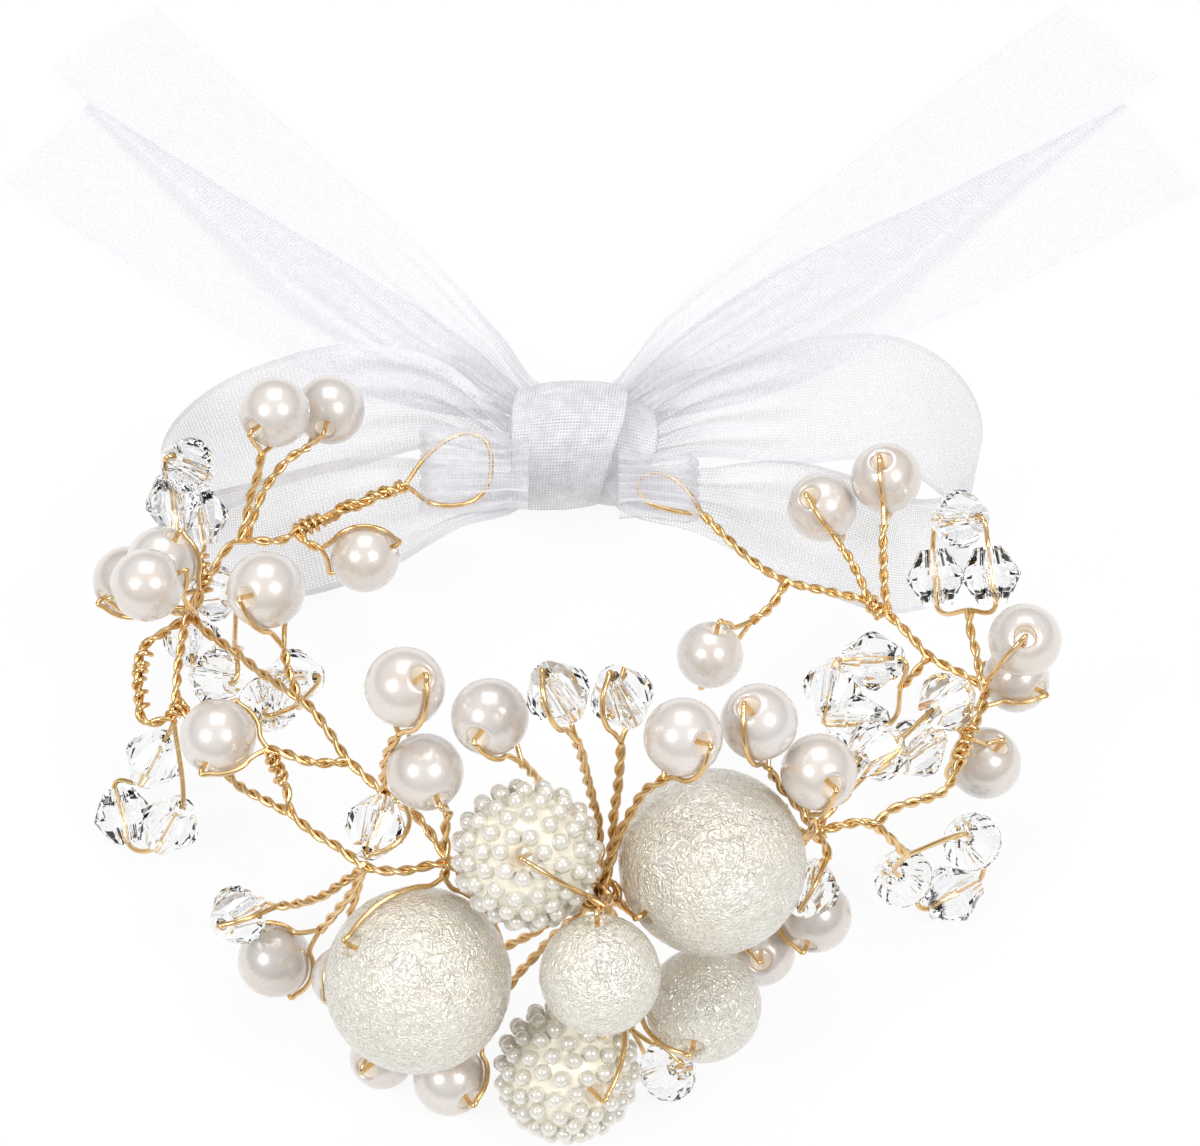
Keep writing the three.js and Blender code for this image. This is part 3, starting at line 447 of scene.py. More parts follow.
pearlMaterial = makeMaterial("pearlNacre", pearlFinish)
cottonMaterial = makeCottonMaterial()
berryCoreMaterial = makeMaterial("berryCore", berryCoreFinish)
berrySeedMaterial = makeMaterial("berrySeed", berrySeedFinish)
crystalMaterial = makeMaterial("cutCrystal", crystalFinish)
wireMaterial = makeMaterial("goldWire", wireFinish)
ribbonMaterial = makeOrganzaMaterial("organza", ribbonFinish)
gatheredPaintedLightMaterial = makeOrganzaMaterial("organzaGatheredPaintedLight", gatheredPaintedLightFinish)
boreGlowMaterial = makeMaterial("boreWallPaintedGlow", boreGlowFinish)
print("materials made")


# Finished pieces

def showObject(name, data):
    piece = bpy.data.objects.new(name, data)
    bpy.context.scene.collection.objects.link(piece)
    return piece


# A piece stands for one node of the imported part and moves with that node's body
def dress(piece, node):
    bodies = frame["record"]["behaviour"]["bodies"]
    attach(piece, next(body for body, nodes in bodies.items() if node in nodes))
    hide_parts(node)
    return piece


def finishPiece(bm, name, node, materials, smooth=True):
    mesh = bpy.data.meshes.new(name)
    bm.to_mesh(mesh)
    bm.free()
    for material in materials:
        mesh.materials.append(material)
    for polygon in mesh.polygons:
        polygon.use_smooth = smooth
    return dress(showObject(name, mesh), node)


def beadPlace(node):
    joint = joints[node]
    return Vector(joint["pos_m"]), Vector(joint["axis"]).normalized()


# Turns a bead whose bore runs along Z so that it runs along the axis, and puts it at its place
def placeBead(bm, centre, axis, turn=0):
    turned = Vector((0, 0, 1)).rotation_difference(axis).to_matrix().to_4x4()
    matrix = Matrix.Translation(centre) @ turned @ Matrix.Rotation(turn, 4, "Z")
    bmesh.ops.transform(bm, matrix=matrix, verts=bm.verts)


def spinProfile(bm, profile, steps, closed=True):
    corners = [bm.verts.new(point) for point in profile]
    pairs = list(zip(corners, corners[1:]))
    if closed:
        pairs.append((corners[-1], corners[0]))
    edges = [bm.edges.new(pair) for pair in pairs]
    bmesh.ops.spin(bm, geom=corners + edges, cent=(0, 0, 0), axis=(0, 0, 1), dvec=(0, 0, 0),
                   angle=2 * math.pi, space=Matrix.Identity(4), steps=steps, use_merge=True,
                   use_normal_flip=False, use_duplicate=False)
    bmesh.ops.remove_doubles(bm, verts=bm.verts, dist=0.0001 * mm)
    bmesh.ops.recalc_face_normals(bm, faces=bm.faces)


# Adds one bmesh to another and frees it
def mergeInto(bm, extra):
    carrier = bpy.data.meshes.new("carrier")
    extra.to_mesh(carrier)
    extra.free()
    bm.from_mesh(carrier)
    bpy.data.meshes.remove(carrier)


# The lip at a bore's mouth, in shares of its size: where its two slopes meet, and where the wall starts
lipShape = {"cornerIn": 0.3, "cornerDown": 0.25, "wallEdge": 0.1}


# A ball with a bore through it and a small lip at each mouth
def makeBall(radius, shape, arcSteps, spinSteps):
    bm = bmesh.new()
    wall, lip = shape["bore"] / 2, shape["lip"]
    mouth = math.asin((wall + lip) / radius)
    top = radius * math.cos(mouth)
    profile = []
    for i in range(arcSteps + 1):
        angle = mouth + (math.pi - 2 * mouth) * i / arcSteps
        profile.append((radius * math.sin(angle), 0, radius * math.cos(angle)))
    corner, drop = wall + lip * lipShape["cornerIn"], lip * lipShape["cornerDown"]
    profile += [(corner, 0, drop - top), (wall, 0, lip - top), (wall, 0, top - lip), (corner, 0, top - drop)]
    spinProfile(bm, profile, spinSteps)
    for face in bm.faces:
        middle = face.calc_center_median()
        face.material_index = int(math.hypot(middle.x, middle.y) < wall + lip * lipShape["wallEdge"])
    return bm


pearlShape = {"diameter": 6 * mm, "bore": 1.7 * mm, "lip": 0.26 * mm, "arcSteps": 24, "spinSteps": 40}
pearlSizeShares = {
    "pearl_06": 1.05, "pearl_08": 1.03, "pearl_09": 1.03, "pearl_12": 1.03, "pearl_13": 0.88,
    "pearl_15": 0.92, "pearl_19": 0.94, "pearl_23": 0.94, "pearl_26": 0.94,
}


def beadRadius(node):
    for start, diameter in (("pearl_", pearlShape["diameter"]),
                            ("cotton_pearl_large", cottonShape["largeDiameter"]),
                            ("cotton_pearl_small", cottonShape["smallDiameter"]),
                            ("berry", berryShape["diameter"]),
                            ("crystal", crystalShape["diameter"])):
        if node.startswith(start):
            return diameter / 2 * pearlSizeShares.get(node, 1)


def addPearls():
    for node in sorted(name for name in twigOf if name.startswith("pearl_")):
        centre, axis = beadPlace(node)
        bm = makeBall(beadRadius(node), pearlShape, pearlShape["arcSteps"], pearlShape["spinSteps"])
        placeBead(bm, centre, axis)
        finishPiece(bm, node + "_bead", node, [pearlMaterial, boreGlowMaterial])
    print("pearls made")


cottonShape = {
    "largeDiameter": 14.8 * mm,
    "smallDiameter": 9.4 * mm,
    "bore": 1.6 * mm,
    "lip": 0.6 * mm,
    "quad": 0.22 * mm,
    "dentSize": 0.8 * mm,
    "dentPattern": (0.9, 2.1, 3, 1.0, 2.0),  # of the ridged fractal
    "dentDepth": 0.045 * mm,
    "swellSize": 5 * mm,
    "swellDepth": 0.05 * mm,
}


# Pressed cotton under crinkled lacquer: a ball that is a little uneven, with shallow dents
def addCottonPearls():
    for node in sorted(name for name in twigOf if name.startswith("cotton_")):
        centre, axis = beadPlace(node)
        radius = beadRadius(node)
        spinSteps = round(2 * math.pi * radius / cottonShape["quad"])
        bm = makeBall(radius, cottonShape, spinSteps // 2, spinSteps)
        for vert in bm.verts:
            if Vector((vert.co.x, vert.co.y)).length < cottonShape["bore"] / 2 + cottonShape["lip"]:
                continue
            swell = noise.noise(vert.co / cottonShape["swellSize"])
            place = vert.co / cottonShape["dentSize"]
            dent = noise.ridged_multi_fractal(place, *cottonShape["dentPattern"])
            outwards = swell * cottonShape["swellDepth"] - dent * cottonShape["dentDepth"]
            vert.co += vert.co.normalized() * outwards
        placeBead(bm, centre, axis)
        finishPiece(bm, node + "_bead", node, [cottonMaterial, boreGlowMaterial])
    print("cotton pearls made")


berryShape = {
    "diameter": 12 * mm,
    "bore": 1.5 * mm,
    "lip": 0.4 * mm,
    "arcSteps": 28,
    "spinSteps": 48,
    "seedRadius": 0.7 * mm,
    "seedRise": 0.95 * mm,
    "seedRings": (26, 52, 78, 106, 134),  # degrees from a seed's top
    "seedSides": 10,
    "rowSpacing": 1.5 * mm,
    "seedSpacing": 1.58 * mm,
    "firstRow": math.radians(19),
    "looseTurn": 0.04,
    "looseLean": 0.03,
}


# One round seed pearl, sunk a little way into the core, its foot at the origin and its top along Z
def addSeed(bm, matrix):
    seed = bmesh.new()
    radius, rise = berryShape["seedRadius"], berryShape["seedRise"]
    profile = [(0, 0, rise)]
    for angle in berryShape["seedRings"]:
        turned = math.radians(angle)
        profile.append((radius * math.sin(turned), 0, rise - radius + radius * math.cos(turned)))
    spinProfile(seed, profile, berryShape["seedSides"], closed=False)
    bmesh.ops.transform(seed, matrix=matrix, verts=seed.verts)
    for face in seed.faces:
        face.material_index = 2
    mergeInto(bm, seed)


# Rows of seeds round the bore, none of them placed quite evenly
def addBerryBalls():
    randomly = random.Random(7)
    firstRow = berryShape["firstRow"]
    for node in ("berry_ball_upper", "berry_ball_lower"):
        centre, axis = beadPlace(node)
        coreRadius = beadRadius(node) - berryShape["seedRise"]
        bm = makeBall(coreRadius, berryShape, berryShape["arcSteps"], berryShape["spinSteps"])
        rows = round((math.pi - 2 * firstRow) / (berryShape["rowSpacing"] / coreRadius))
        for row in range(rows + 1):
            polar = firstRow + (math.pi - 2 * firstRow) * row / rows
            count = round(2 * math.pi * coreRadius * math.sin(polar) / berryShape["seedSpacing"])
            start = randomly.uniform(0, 2 * math.pi)
            for i in range(count):
                loose = randomly.uniform(-berryShape["looseTurn"], berryShape["looseTurn"])
                turn = start + 2 * math.pi * i / count + loose
                lean = polar + randomly.uniform(-berryShape["looseLean"], berryShape["looseLean"])
                addSeed(bm, Matrix.Rotation(turn, 4, "Z") @ Matrix.Rotation(lean, 4, "Y")
                        @ Matrix.Translation((0, 0, coreRadius)))
        placeBead(bm, centre, axis)
        finishPiece(bm, node + "_bead", node, [berryCoreMaterial, boreGlowMaterial, berrySeedMaterial])
    print("berry balls made")


crystalShape = {
    "diameter": 5 * mm,
    "length": 4.8 * mm,
    "endDiameter": 2.4 * mm,
    "bore": 1.1 * mm,
    "facets": 14,
    "girdle": 0.35 * mm,
    "loneTurn": 0.9,
    "loopTurn": 0.7,
    "firstLoopTurn": 0.2,
}
loneCrystals = ("crystal_left_front", "crystal_left_bottom", "crystal_top_left", "crystal_top_right",
                "crystal_right_bottom", "crystal_front_bottom")


# A cut bead: two cones of flat facets, the second turned half a facet, with a bore through both
def makeCrystal():
    bm = bmesh.new()
    halfFacet = math.pi / crystalShape["facets"]
    end, middle = crystalShape["endDiameter"] / 2, crystalShape["diameter"] / 2
    half, belt = crystalShape["length"] / 2, crystalShape["girdle"] / 2
    for height, radius, turn in ((half, end, 0), (belt, middle, 0), (-belt, middle, halfFacet),
                                 (-half, end, halfFacet)):
        matrix = Matrix.Translation((0, 0, height)) @ Matrix.Rotation(turn, 4, "Z")
        bmesh.ops.create_circle(bm, cap_ends=False, segments=crystalShape["facets"], radius=radius,
                                matrix=matrix)
    bmesh.ops.convex_hull(bm, input=bm.verts[:] + bm.edges[:])
    bmesh.ops.dissolve_limit(bm, angle_limit=math.radians(1), use_dissolve_boundaries=False,
                             verts=bm.verts, edges=bm.edges, delimit=set())
    ends = [face for face in bm.faces if abs(face.normal.z) > 0.99]
    inset = (end - crystalShape["bore"] / 2) * math.cos(halfFacet)
    bmesh.ops.inset_individual(bm, faces=ends, thickness=inset, use_even_offset=True)
    rims = [edge for face in ends for edge in face.edges]
    bmesh.ops.delete(bm, geom=ends, context="FACES_ONLY")
    bmesh.ops.bridge_loops(bm, edges=rims)
    bmesh.ops.recalc_face_normals(bm, faces=bm.faces)
    return bm


def addLoneCrystals():
    for i, node in enumerate(loneCrystals):
        bm = makeCrystal()
        placeBead(bm, *beadPlace(node), turn=i * crystalShape["loneTurn"])
        finishPiece(bm, node + "_bead", node, [crystalMaterial], smooth=False)
    print("lone crystals made")


# Where each crystal of a loop sits and which way its bore runs, as in the solids
def loopPlaces(name):
    lowest = crystalShape["diameter"] / 2 / bandWidth
    centres = placesOf((x, y, max(heightShare, lowest)) for x, y, heightShare in crystalLoops[name])
    middle = sum(centres, Vector()) / len(centres)
    tie = placeOf(twigOf[name][-1])
    setOff = wireShape["twistDiameter"] / 2 + wireShape["loopGap"] + wireShape["diameter"] / 2
    start = tie + (middle - tie).normalized() * setOff
    stops = [start, *centres, start]
    return [(centre, (after - before).normalized())
            for before, centre, after in zip(stops, centres, stops[2:])]


def addCrystalLoops():
    for name in crystalLoops:
        bm = bmesh.new()
        for i, (centre, axis) in enumerate(loopPlaces(name)):
            crystal = makeCrystal()
            placeBead(crystal, centre, axis, i * crystalShape["loopTurn"] + crystalShape["firstLoopTurn"])
            mergeInto(bm, crystal)
        finishPiece(bm, name + "_beads", name, [crystalMaterial], smooth=False)
    print("crystal loops made")


# Wire

wireShape = {
    "diameter": 0.43 * mm,
    "strandOffset": 0.21 * mm,
    "pitch": (2.5 * mm, 3.3 * mm),
    "pairWaver": 0.1,
    "coilWaver": 0.45,
    "waverSize": 0.8 * mm,
    "step": 0.2 * mm,
    "lengthSeen": 0.85,  # how far the twist follows the length seen across the view
    "sway": 0.14 * mm,
    "swaySize": 3 * mm,
    "swayEase": 8,
    "coilPoints": 14,
    "coilUneven": (0.9, 1.1),
    "beadGap": 0.1 * mm,
    "arcPitch": 1.0 * mm,
    "closeIn": 3,
    "lipOffset": 0.55 * mm,
    "mouthRise": 0.1 * mm,
    "mouthSide": 0.05 * mm,
    "boreDipShare": 0.75,
    "twistDiameter": 0.8 * mm,
    "loopGap": 0.3 * mm,
    "endGap": 0.35 * mm,
}


# A smooth line through the stops, with points about a step apart
def smoothRoute(stops, step=wireShape["step"]):
    points = [stops[0]]
    for i in range(len(stops) - 1):
        before, first = stops[max(i - 1, 0)], stops[i]
        second, after = stops[i + 1], stops[min(i + 2, len(stops) - 1)]
        handle = (second - first).length / 3
        leave = first + (second - before).normalized() * handle
        arrive = second - (after - first).normalized() * handle
        count = max(2, math.ceil((second - first).length / step) + 1)
        points += interpolate_bezier(first, leave, arrive, second, count)[1:]
    return points


# For each point of a route: the point, and two directions across it that don't twist along it
def framesAlong(points):
    frames = []
    side = None
    for i, point in enumerate(points):
        ahead = (points[min(i + 1, len(points) - 1)] - points[max(i - 1, 0)]).normalized()
        side = side or ahead.orthogonal()
        side = (side - ahead * side.dot(ahead)).normalized()
        frames.append((point, side, ahead.cross(side)))
    return frames


# Points that go round a route like a screw; the turn is a share of a circle at its start
def screwRun(frames, radius, pitch, startTurn, waver):
    run = []
    turn = startTurn * 2 * math.pi
    last = frames[0][0]
    for point, side, lift in frames:
        ahead = point - last
        seen = (ahead - viewInto * ahead.dot(viewInto)).length
        turn += 2 * math.pi * ahead.length / pitch * (1 - wireShape["lengthSeen"])
        turn += 2 * math.pi * seen / pitch * wireShape["lengthSeen"]
        last = point
        wide = radius * (1 + waver * noise.noise(point / wireShape["waverSize"]))
        run.append(point + (side * math.cos(turn) + lift * math.sin(turn)) * wide)
    return run


# Two strands twisted together along a route that sways a little, as wire twisted by hand does
def twistedPair(route, randomly):
    points = smoothRoute(placesOf(route))
    for i in range(1, len(points) - 1):
        ease = min(i, len(points) - 1 - i, wireShape["swayEase"]) / wireShape["swayEase"]
        sway = noise.noise_vector(points[i] / wireShape["swaySize"]) * wireShape["sway"]
        points[i] = points[i] + sway * ease
    frames = framesAlong(points)
    pitch = randomly.uniform(*wireShape["pitch"])
    turn = randomly.random()
    return [screwRun(frames, wireShape["strandOffset"], pitch, turn + half, wireShape["pairWaver"])
            for half in (0, 0.5)]


# Strands wound over a stem by hand, their turns uneven in width and spacing
def windingRuns(winding, randomly):
    route, radius, pitch, strands = winding
    step = min(pitch / wireShape["coilPoints"], wireShape["step"] / mm) * mm
    frames = framesAlong(smoothRoute(placesOf(route), step))
    turn = randomly.random()
    runs = []
    for i in range(strands):
        uneven = pitch * mm * randomly.uniform(*wireShape["coilUneven"])
        runs.append(screwRun(frames, radius * mm, uneven, turn + i / strands, wireShape["coilWaver"]))
    return runs


# One strand from the tie round a bead to a mouth of its bore, and into it
def strandToBore(tie, centre, mouth, radius):
    reach = radius + wireShape["beadGap"] + wireShape["diameter"] / 2
    away = tie - centre
    start = away.normalized()
    side = (mouth - start * mouth.dot(start)).normalized()
    last = max(start.angle(mouth) - wireShape["lipOffset"] / reach, 0)
    count = max(2, round(last * reach / wireShape["arcPitch"]))
    stops = [tie]
    for i in range(1, count + 1):
        turn = last * i / count
        out = max(reach, away.length * (1 - i / count * wireShape["closeIn"]))
        stops.append(centre + (start * math.cos(turn) + side * math.sin(turn)) * out)
    stops.append(centre + mouth * (reach + wireShape["mouthRise"]) + side * wireShape["mouthSide"])
    stops.append(centre + mouth * radius * wireShape["boreDipShare"])
    stops.append(centre)
    return smoothRoute(stops)


# The strand of a crystal loop: straight through each crystal and bent between them
def loopRun(name):
    half = crystalShape["length"] / 2 + wireShape["endGap"]
    tie = placeOf(twigOf[name][-1])
    stops = [tie]
    for centre, axis in loopPlaces(name):
        stops += [centre - axis * half, centre, centre + axis * half]
    return smoothRoute(stops + [tie])


def addWire(name, node, runs):
    curve = bpy.data.curves.new(name, "CURVE")
    curve.dimensions = "3D"
    curve.bevel_depth = wireShape["diameter"] / 2
    curve.bevel_resolution = 3
    curve.use_fill_caps = True
    for run in runs:
        spline = curve.splines.new("POLY")
        spline.points.add(len(run) - 1)
        for point, place in zip(spline.points, run):
            point.co = (*place, 1)
    curve.materials.append(wireMaterial)
    dress(showObject(name, curve), node)


def addVines():
    for vine, routes in twigs.items():
        randomly = random.Random(vine)
        runs = []
        for route in stems[vine]:
            runs += twistedPair(route, randomly)
        for winding in windings[vine]:
            runs += windingRuns(winding, randomly)
        if vine in eyelets:
            runs.append(smoothRoute(placesOf(eyelets[vine])))
        for node, route in routes.items():
            if node in crystalLoops:
                runs.append(loopRun(node))
            else:
                centre, axis = beadPlace(node)
                for mouth in (axis, -axis):
                    runs.append(strandToBore(placeOf(route[-1]), centre, mouth, beadRadius(node)))
            runs += twistedPair(route, randomly)
        addWire("wire_" + vine, "vine_" + vine, runs)
    print("wire made")


# Ribbon

ribbonShape = {
    "rowStep": 0.8 * mm,
    "lineSteps": 24,
    "columns": 40,
    "folds": 4,
    "foldDrift": 2.2,
    "phaseStep": 1.3,
    "rippleSize": 9 * mm,
    "ripple": 0.35 * mm,
    "lowest": 0.12 * mm,
    "edgeTurn": 0.4 * mm,
    "edgeDrop": 0.35 * mm,
    "knotPixel": (573, 440, 0.18),
    "tuckShare": 0.38,  # how far the ends go on from the knot's edge towards its middle
    "tuckedNarrower": 0.85,
}


# A smooth value between the listed ones, for numbers and for places alike
def between(values, place):
    i = min(int(place), len(values) - 2)
    t = place - i
    first, second = values[i], values[i + 1]
    before = values[i - 1] if i > 0 else first * 2 - second
    after = values[i + 2] if i + 2 < len(values) else second * 2 - first
    return (first * 2 + (second - before) * t
            + (before * 2 - first * 5 + second * 4 - after) * t * t
            + (first * 3 - before - second * 3 + after) * t * t * t) * 0.5


# Each place of a line with its direction and the length so far
def measured(line, closed=False):
    last = len(line) - 1
    length = 0
    steps = []
    for i, place in enumerate(line):
        before, after = ((i - 1) % last, (i + 1) % last) if closed else (max(i - 1, 0), min(i + 1, last))
        length += (place - line[i - 1]).length if i else 0
        steps.append((place, (line[after] - line[before]).normalized(), length))
    return steps


# The middle line of a ribbon: at each row its place, two directions, gathered width and length so far
def ribbonRows(route, closed):
    places = placesOf(route)
    leans = [math.radians(point[3]) for point in route]
    shares = [point[4] for point in route]
    knot = placeOf(ribbonShape["knotPixel"])
    for values in (places, leans, shares):
        values.insert(0, values[0])
        if closed:
            values.append(values[-1])
    for end in (0, -1) if closed else (0,):
        places[end] = places[end].lerp(knot, ribbonShape["tuckShare"])
        shares[end] *= ribbonShape["tuckedNarrower"]
    fine = ribbonShape["lineSteps"]
    line = [between(places, i / fine) for i in range((len(places) - 1) * fine + 1)]
    rows = []
    for i, (place, ahead, length) in enumerate(measured(line)):
        flat = Vector((-ahead.y, ahead.x, 0)).normalized()
        across = Matrix.Rotation(between(leans, i / fine), 3, ahead) @ flat
        share = min(between(shares, i / fine), 1)
        rows.append((place, across, ahead.cross(across).normalized(), share, length))
    return rows


def rowAt(rows, along):
    place = along * (len(rows) - 1)
    i = min(int(place), len(rows) - 2)
    t = place - i
    return [first + (second - first) * t for first, second in zip(rows[i], rows[i + 1])]


# Where a gathered strip's cloth goes: into lengthways folds, or with no folds under its two edges
def gatherPlace(share, gather, folds, wave):
    if folds:
        depth = ribbonWidth * math.sqrt(max(1 - gather * gather, 0)) / (4 * folds)
        return ribbonWidth * gather * share, depth * math.cos(2 * math.pi * folds * share + wave)
    half = ribbonWidth * gather / 2
    past = abs(share) * ribbonWidth - half
    if past <= 0:
        return share * ribbonWidth, 0
    turned = min(past / ribbonShape["edgeTurn"], 1)
    return math.copysign(half - past, share), -ribbonShape["edgeDrop"] * turned


# A strip of ribbon laid on rows, whose flat length is theirs
def addCloth(name, node, rows, material, folds, phase, crown=0):
    bm = bmesh.new()
    length = rows[-1][4]
    rowCount = max(8, round(length / ribbonShape["rowStep"]))
    bmesh.ops.create_grid(bm, x_segments=ribbonShape["columns"], y_segments=rowCount, size=0.5)
    cloth = bm.loops.layers.uv.new("cloth")
    for vert in bm.verts:
        share, along = vert.co.x, vert.co.y + 0.5
        for loop in vert.link_loops:
            loop[cloth].uv = (share * ribbonWidth / mm, along * length / mm)
        point, across, normal, gather, _ = rowAt(rows, along)
        sideways, lift = gatherPlace(share, gather, folds, phase + ribbonShape["foldDrift"] * along)
        place = point + across * sideways + normal * (lift + crown * (1 - 4 * share * share))
        ripple = noise.noise(place / ribbonShape["rippleSize"] + Vector((phase, 0, 0)))
        place += normal * ripple * ribbonShape["ripple"]
        place.z = max(place.z, ribbonShape["lowest"])
        vert.co = place
    piece = finishPiece(bm, name + "_cloth", node, [material])


def addRibbons():
    for i, (name, route) in enumerate(ribbonRoutes.items()):
        addCloth(name, name, ribbonRows(route, "loop" in name), ribbonMaterial,
                 ribbonShape["folds"], i * ribbonShape["phaseStep"])
    print("ribbons made")


# Straps that go from the knot through the eyelets and back, drawn together into lengthways folds.
# Each starts at a pixel at the knot's edge and goes left (-1) or right (1) as far as its reach
strapShape = {"spacing": 2.6 * mm, "tuck": 1.6 * mm, "folds": 6, "run": 12, "narrower": 0.75}
straps = {
    "ribbon_strap_left": {"root": (510, 471, 0.23), "towards": -1, "reach": 7.6 * mm, "wide": 7.8 * mm},
    "ribbon_strap_right": {"root": (637, 487, 0.22), "towards": 1, "reach": 5.2 * mm, "wide": 6.4 * mm},
}


def addStraps():
    half = strapShape["spacing"] / 2
    run = strapShape["run"]
    for name, strap in straps.items():
        root, towards, reach = placeOf(strap["root"]), strap["towards"], strap["reach"]
        turn = reach - half
        outs = [-strapShape["tuck"] + (turn + strapShape["tuck"]) * i / run for i in range(run)]
        line = [root + Vector((towards * out, 0, half)) for out in outs]
        for i in range(run + 1):
            angle = math.pi * i / run
            out = towards * (turn + half * math.sin(angle))
            line.append(root + Vector((out, 0, half * math.cos(angle))))
        line += [root + Vector((towards * out, 0, -half)) for out in reversed(outs)]
        rows = []
        for place, ahead, length in measured(line):
            across = Vector((0, -towards, 0))
            fromKnot = min(abs(place.x - root.x) / reach, 1)
            narrower = strapShape["narrower"] + (1 - strapShape["narrower"]) * fromKnot
            rows.append((place, across, across.cross(ahead), strap["wide"] / ribbonWidth * narrower, length))
        addCloth(name, name, rows, ribbonMaterial, strapShape["folds"], towards)
    print("straps made")


# The knot: a gathered core with two turns of ribbon over it, their edges turned under. Each turn lists
# the middle and width of the band in millimetres at the back, top, front and bottom
knotShape = {
    "coreSize": (12.0 * mm, 7.0 * mm, 7.6 * mm),
    "coreSquareness": 0.8,
    "coreCloth": (9, 12),  # millimetres of cloth round the core and along it, for the weave
    "pleats": 4,
    "pleatDepth": 0.22 * mm,
    "pleatBow": 0.3,
    "squareness": 0.9,
    "lobeAngle": 3.75,
    "lobeWidth": 0.5,
    "crown": 0.9 * mm,
    "phaseStep": 2.0,
    "steps": 48,
}
knotWraps = [
    {"name": "ribbon_knot_wrap", "deep": 8.6, "high": 9.0, "lobe": 1.6, "tilt": -4,
     "bands": [(0.3, 9.4), (0.0, 10.4), (-1.2, 8.0), (-2.0, 6.4)]},
    {"name": "ribbon_knot_fold", "deep": 7.6, "high": 7.8, "lobe": 0.3, "tilt": 22,
     "bands": [(2.6, 6.6), (2.8, 7.4), (2.4, 7.0), (2.0, 6.4)]},
]


# A share of a circle's or ball's radius, pushed out towards a square's
def squared(share, squareness):
    return math.copysign(abs(share) ** squareness, share)


def addKnot():
    middle = placeOf(ribbonShape["knotPixel"])
    wide, deep, high = knotShape["coreSize"]
    around, along = knotShape["coreCloth"]
    bm = bmesh.new()
    bmesh.ops.create_icosphere(bm, subdivisions=5, radius=1)
    cloth = bm.loops.layers.uv.new("cloth")
    for vert in bm.verts:
        out = Vector([squared(share, knotShape["coreSquareness"]) / 2 for share in vert.co])
        for loop in vert.link_loops:
            loop[cloth].uv = ((out.y + out.z) * around, out.x * along)
        bow = out.y - out.z + knotShape["pleatBow"] * out.x * out.x
        pleat = math.cos(2 * math.pi * knotShape["pleats"] * bow) * knotShape["pleatDepth"]
        place = Vector((out.x * wide, out.y * deep, out.z * high))
        vert.co = middle + place + Vector((0, out.y, out.z)).normalized() * pleat
    finishPiece(bm, "ribbon_knot_core", "ribbon_knot", [gatheredPaintedLightMaterial])
    for i, wrap in enumerate(knotWraps):
        addCloth(wrap["name"], "ribbon_knot", wrapRows(middle, wrap), gatheredPaintedLightMaterial, 0,
                 i * knotShape["phaseStep"], knotShape["crown"])
    print("knot made")


# One turn of ribbon round the knot, from its back over the top to the front and under
def wrapRows(middle, wrap):
    steps = knotShape["steps"]
    tilt = Matrix.Rotation(math.radians(wrap["tilt"]), 3, "Y")
    across = tilt @ Vector((-1, 0, 0))
    bands = [Vector(band) for band in wrap["bands"] + wrap["bands"][:1]]
    line = []
    widths = []
    for step in range(steps + 1):
        angle = 2 * math.pi * step / steps
        fromLobe = (angle - knotShape["lobeAngle"]) / knotShape["lobeWidth"]
        lobe = 1 + wrap["lobe"] / wrap["high"] * math.exp(-fromLobe ** 2)
        shift, wide = between(bands, 4 * step / steps)
        y = squared(math.cos(angle), knotShape["squareness"]) * wrap["deep"] / 2 * lobe
        z = squared(math.sin(angle), knotShape["squareness"]) * wrap["high"] / 2 * lobe
        line.append(middle + tilt @ Vector((shift, y, z)) * mm)
        widths.append(wide * mm)
    return [(place, across, across.cross(ahead).normalized(), width / ribbonWidth, length)
            for (place, ahead, length), width in zip(measured(line, closed=True), widths)]


# Table, light and camera

studio = {
    "floorSize": 3.0,
    "floorWhite": 0.9,
    "plainWhite": 0.9,
    "glassWhite": 0.85,
    "walls": [(0.0, 0.6), (0.1, 0.3), (0.32, 0.34), (0.5, 0.55), (1.0, 0.66)],
    "wallBlue": 1.02,
    "lamps": [
        {"name": "frontLeft", "turn": -32, "rise": 4, "distance": 0.75, "size": 0.22, "watts": 1.8},
        {"name": "frontRight", "turn": 30, "rise": 6, "distance": 0.75, "size": 0.22, "watts": 1.8},
        {"name": "overhead", "turn": 0, "rise": 58, "distance": 0.8, "size": 0.5, "watts": 1.8},
    ],
    "nearest": 0.01,
    "farthest": 10,
    "bounces": 24,
    "clearBounces": 40,
}


# Seen directly, by reflection or through glass, the table is plain white
def addWhiteSight(tree, surface, whiteShare):
    sight = addNode(tree, "ShaderNodeLightPath").outputs
    seen = doMath(tree, "MAXIMUM", sight["Is Camera Ray"], sight["Is Glossy Ray"])
    seen = doMath(tree, "MAXIMUM", seen, sight["Is Transmission Ray"])
    seen = doMath(tree, "MULTIPLY", seen, whiteShare)
    white = addNode(tree, "ShaderNodeEmission", {"Color": (1, 1, 1, 1), "Strength": 1.0}).outputs[0]
    return addNode(tree, "ShaderNodeMixShader", {0: seen, 1: surface, 2: white}).outputs[0]


def addFloor():
    bm = bmesh.new()
    bmesh.ops.create_grid(bm, x_segments=1, y_segments=1, size=studio["floorSize"] / 2)
    mesh = bpy.data.meshes.new("floor")
    bm.to_mesh(mesh)
    bm.free()
    material = bpy.data.materials.new("whiteTable")
    material.use_nodes = True
    tree = material.node_tree
    tree.nodes.remove(tree.nodes["Principled BSDF"])
    matt = addNode(tree, "ShaderNodeBsdfDiffuse", {"Color": (*[studio["floorWhite"]] * 3, 1)})
    shown = addWhiteSight(tree, matt.outputs[0], studio["plainWhite"])
    setInputs(tree.nodes["Material Output"], {"Surface": shown})
    mesh.materials.append(material)
    showObject("floor", mesh)


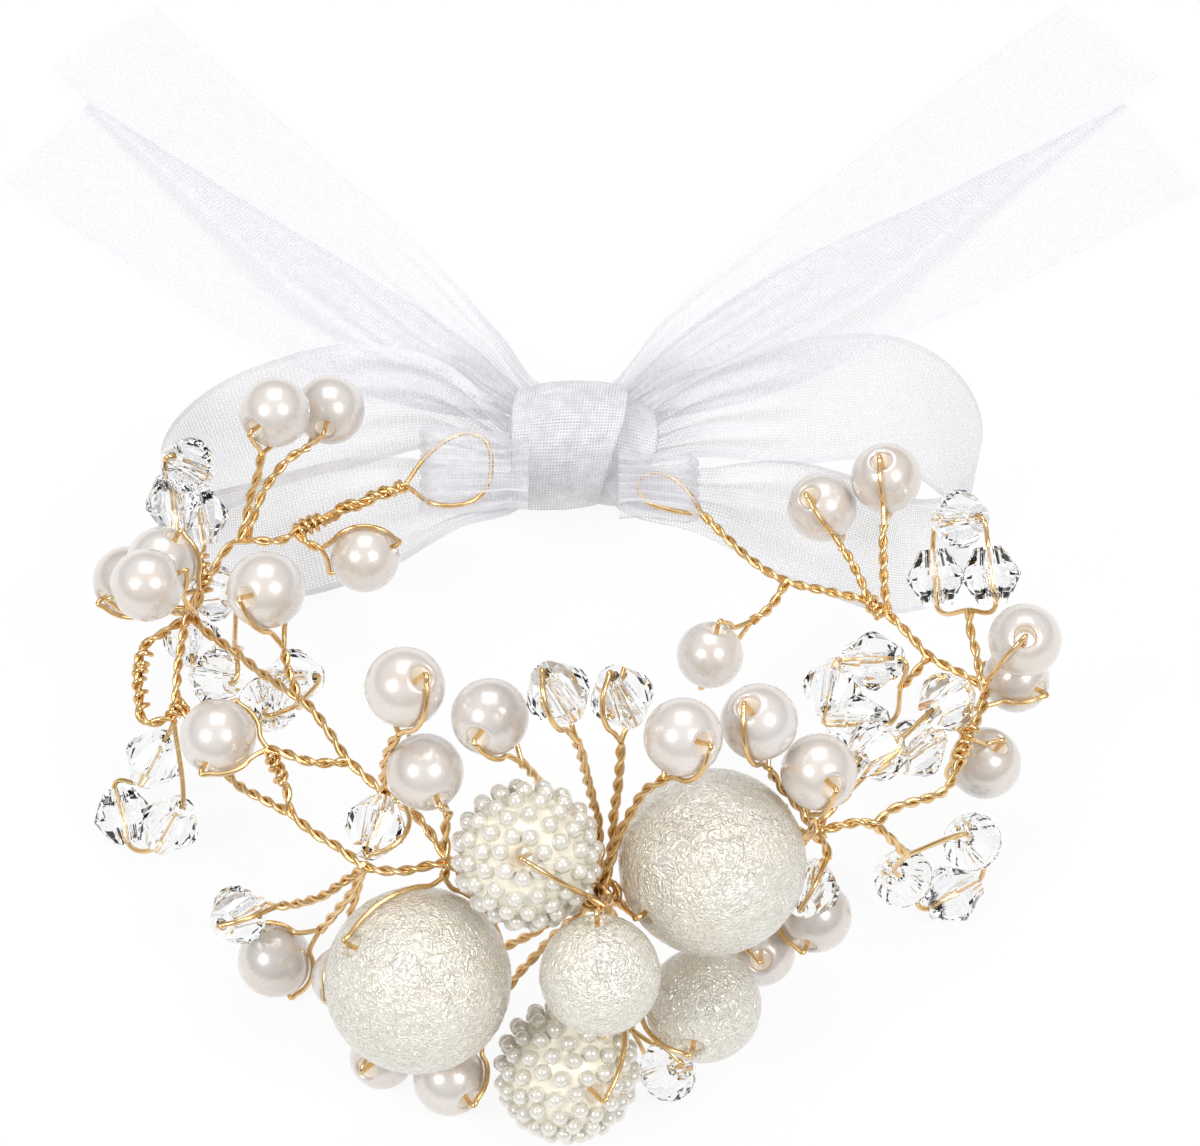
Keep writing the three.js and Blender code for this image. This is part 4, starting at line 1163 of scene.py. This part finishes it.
# A pale room: bright above, with darker walls that give cut crystal and gold their dark facets
def addWorld():
    world = bpy.data.worlds.new("room")
    bpy.context.scene.world = world
    world.use_nodes = True
    tree = world.node_tree
    direction = addNode(tree, "ShaderNodeTexCoord").outputs["Generated"]
    up = addNode(tree, "ShaderNodeSeparateXYZ", {0: direction}).outputs["Z"]
    greys = [(height, (grey, grey, grey * studio["wallBlue"])) for height, grey in studio["walls"]]
    sight = addNode(tree, "ShaderNodeLightPath").outputs
    whiteShare = doMath(tree, "MULTIPLY_ADD", sight["Is Transmission Ray"], studio["glassWhite"],
                        sight["Is Camera Ray"])
    values = {"Factor": whiteShare, "A": addRamp(tree, up, greys), "B": (1, 1, 1, 1)}
    shown = addNode(tree, "ShaderNodeMix", values, data_type="RGBA").outputs["Result"]
    setInputs(tree.nodes["Background"], {"Color": shown, "Strength": 1.0})


def addLamps():
    for lamp in studio["lamps"]:
        direction = Matrix.Rotation(math.radians(-lamp["rise"]), 3, "X") @ -viewInto
        direction = Matrix.Rotation(math.radians(lamp["turn"]), 3, viewUp) @ direction
        light = bpy.data.lights.new(lamp["name"], "AREA")
        light.size = lamp["size"]
        light.energy = lamp["watts"]
        piece = showObject(lamp["name"], light)
        piece.location = partShift + direction * lamp["distance"]
        piece.rotation_euler = direction.to_track_quat("Z", "Y").to_euler()


def addCamera():
    camera = bpy.data.cameras.new("camera")
    camera.sensor_width = picture["sensorWidth"]
    camera.lens = picture["focalPixels"] / picture["widthPixels"] * picture["sensorWidth"]
    camera.clip_start = studio["nearest"]
    camera.clip_end = studio["farthest"]
    piece = showObject("camera", camera)
    piece.location = eye + partShift
    piece.rotation_euler = (math.pi / 2 - picture["elevation"], 0, 0)
    bpy.context.scene.camera = piece


addPearls()
addCottonPearls()
addBerryBalls()
addLoneCrystals()
addCrystalLoops()
addVines()
addRibbons()
addStraps()
addKnot()
addFloor()
addWorld()
addLamps()
addCamera()
scene = bpy.context.scene
scene.view_settings.view_transform = "Standard"
scene.cycles.max_bounces = studio["bounces"]
scene.cycles.transmission_bounces = studio["bounces"]
scene.cycles.transparent_max_bounces = studio["clearBounces"]
print("studio made")
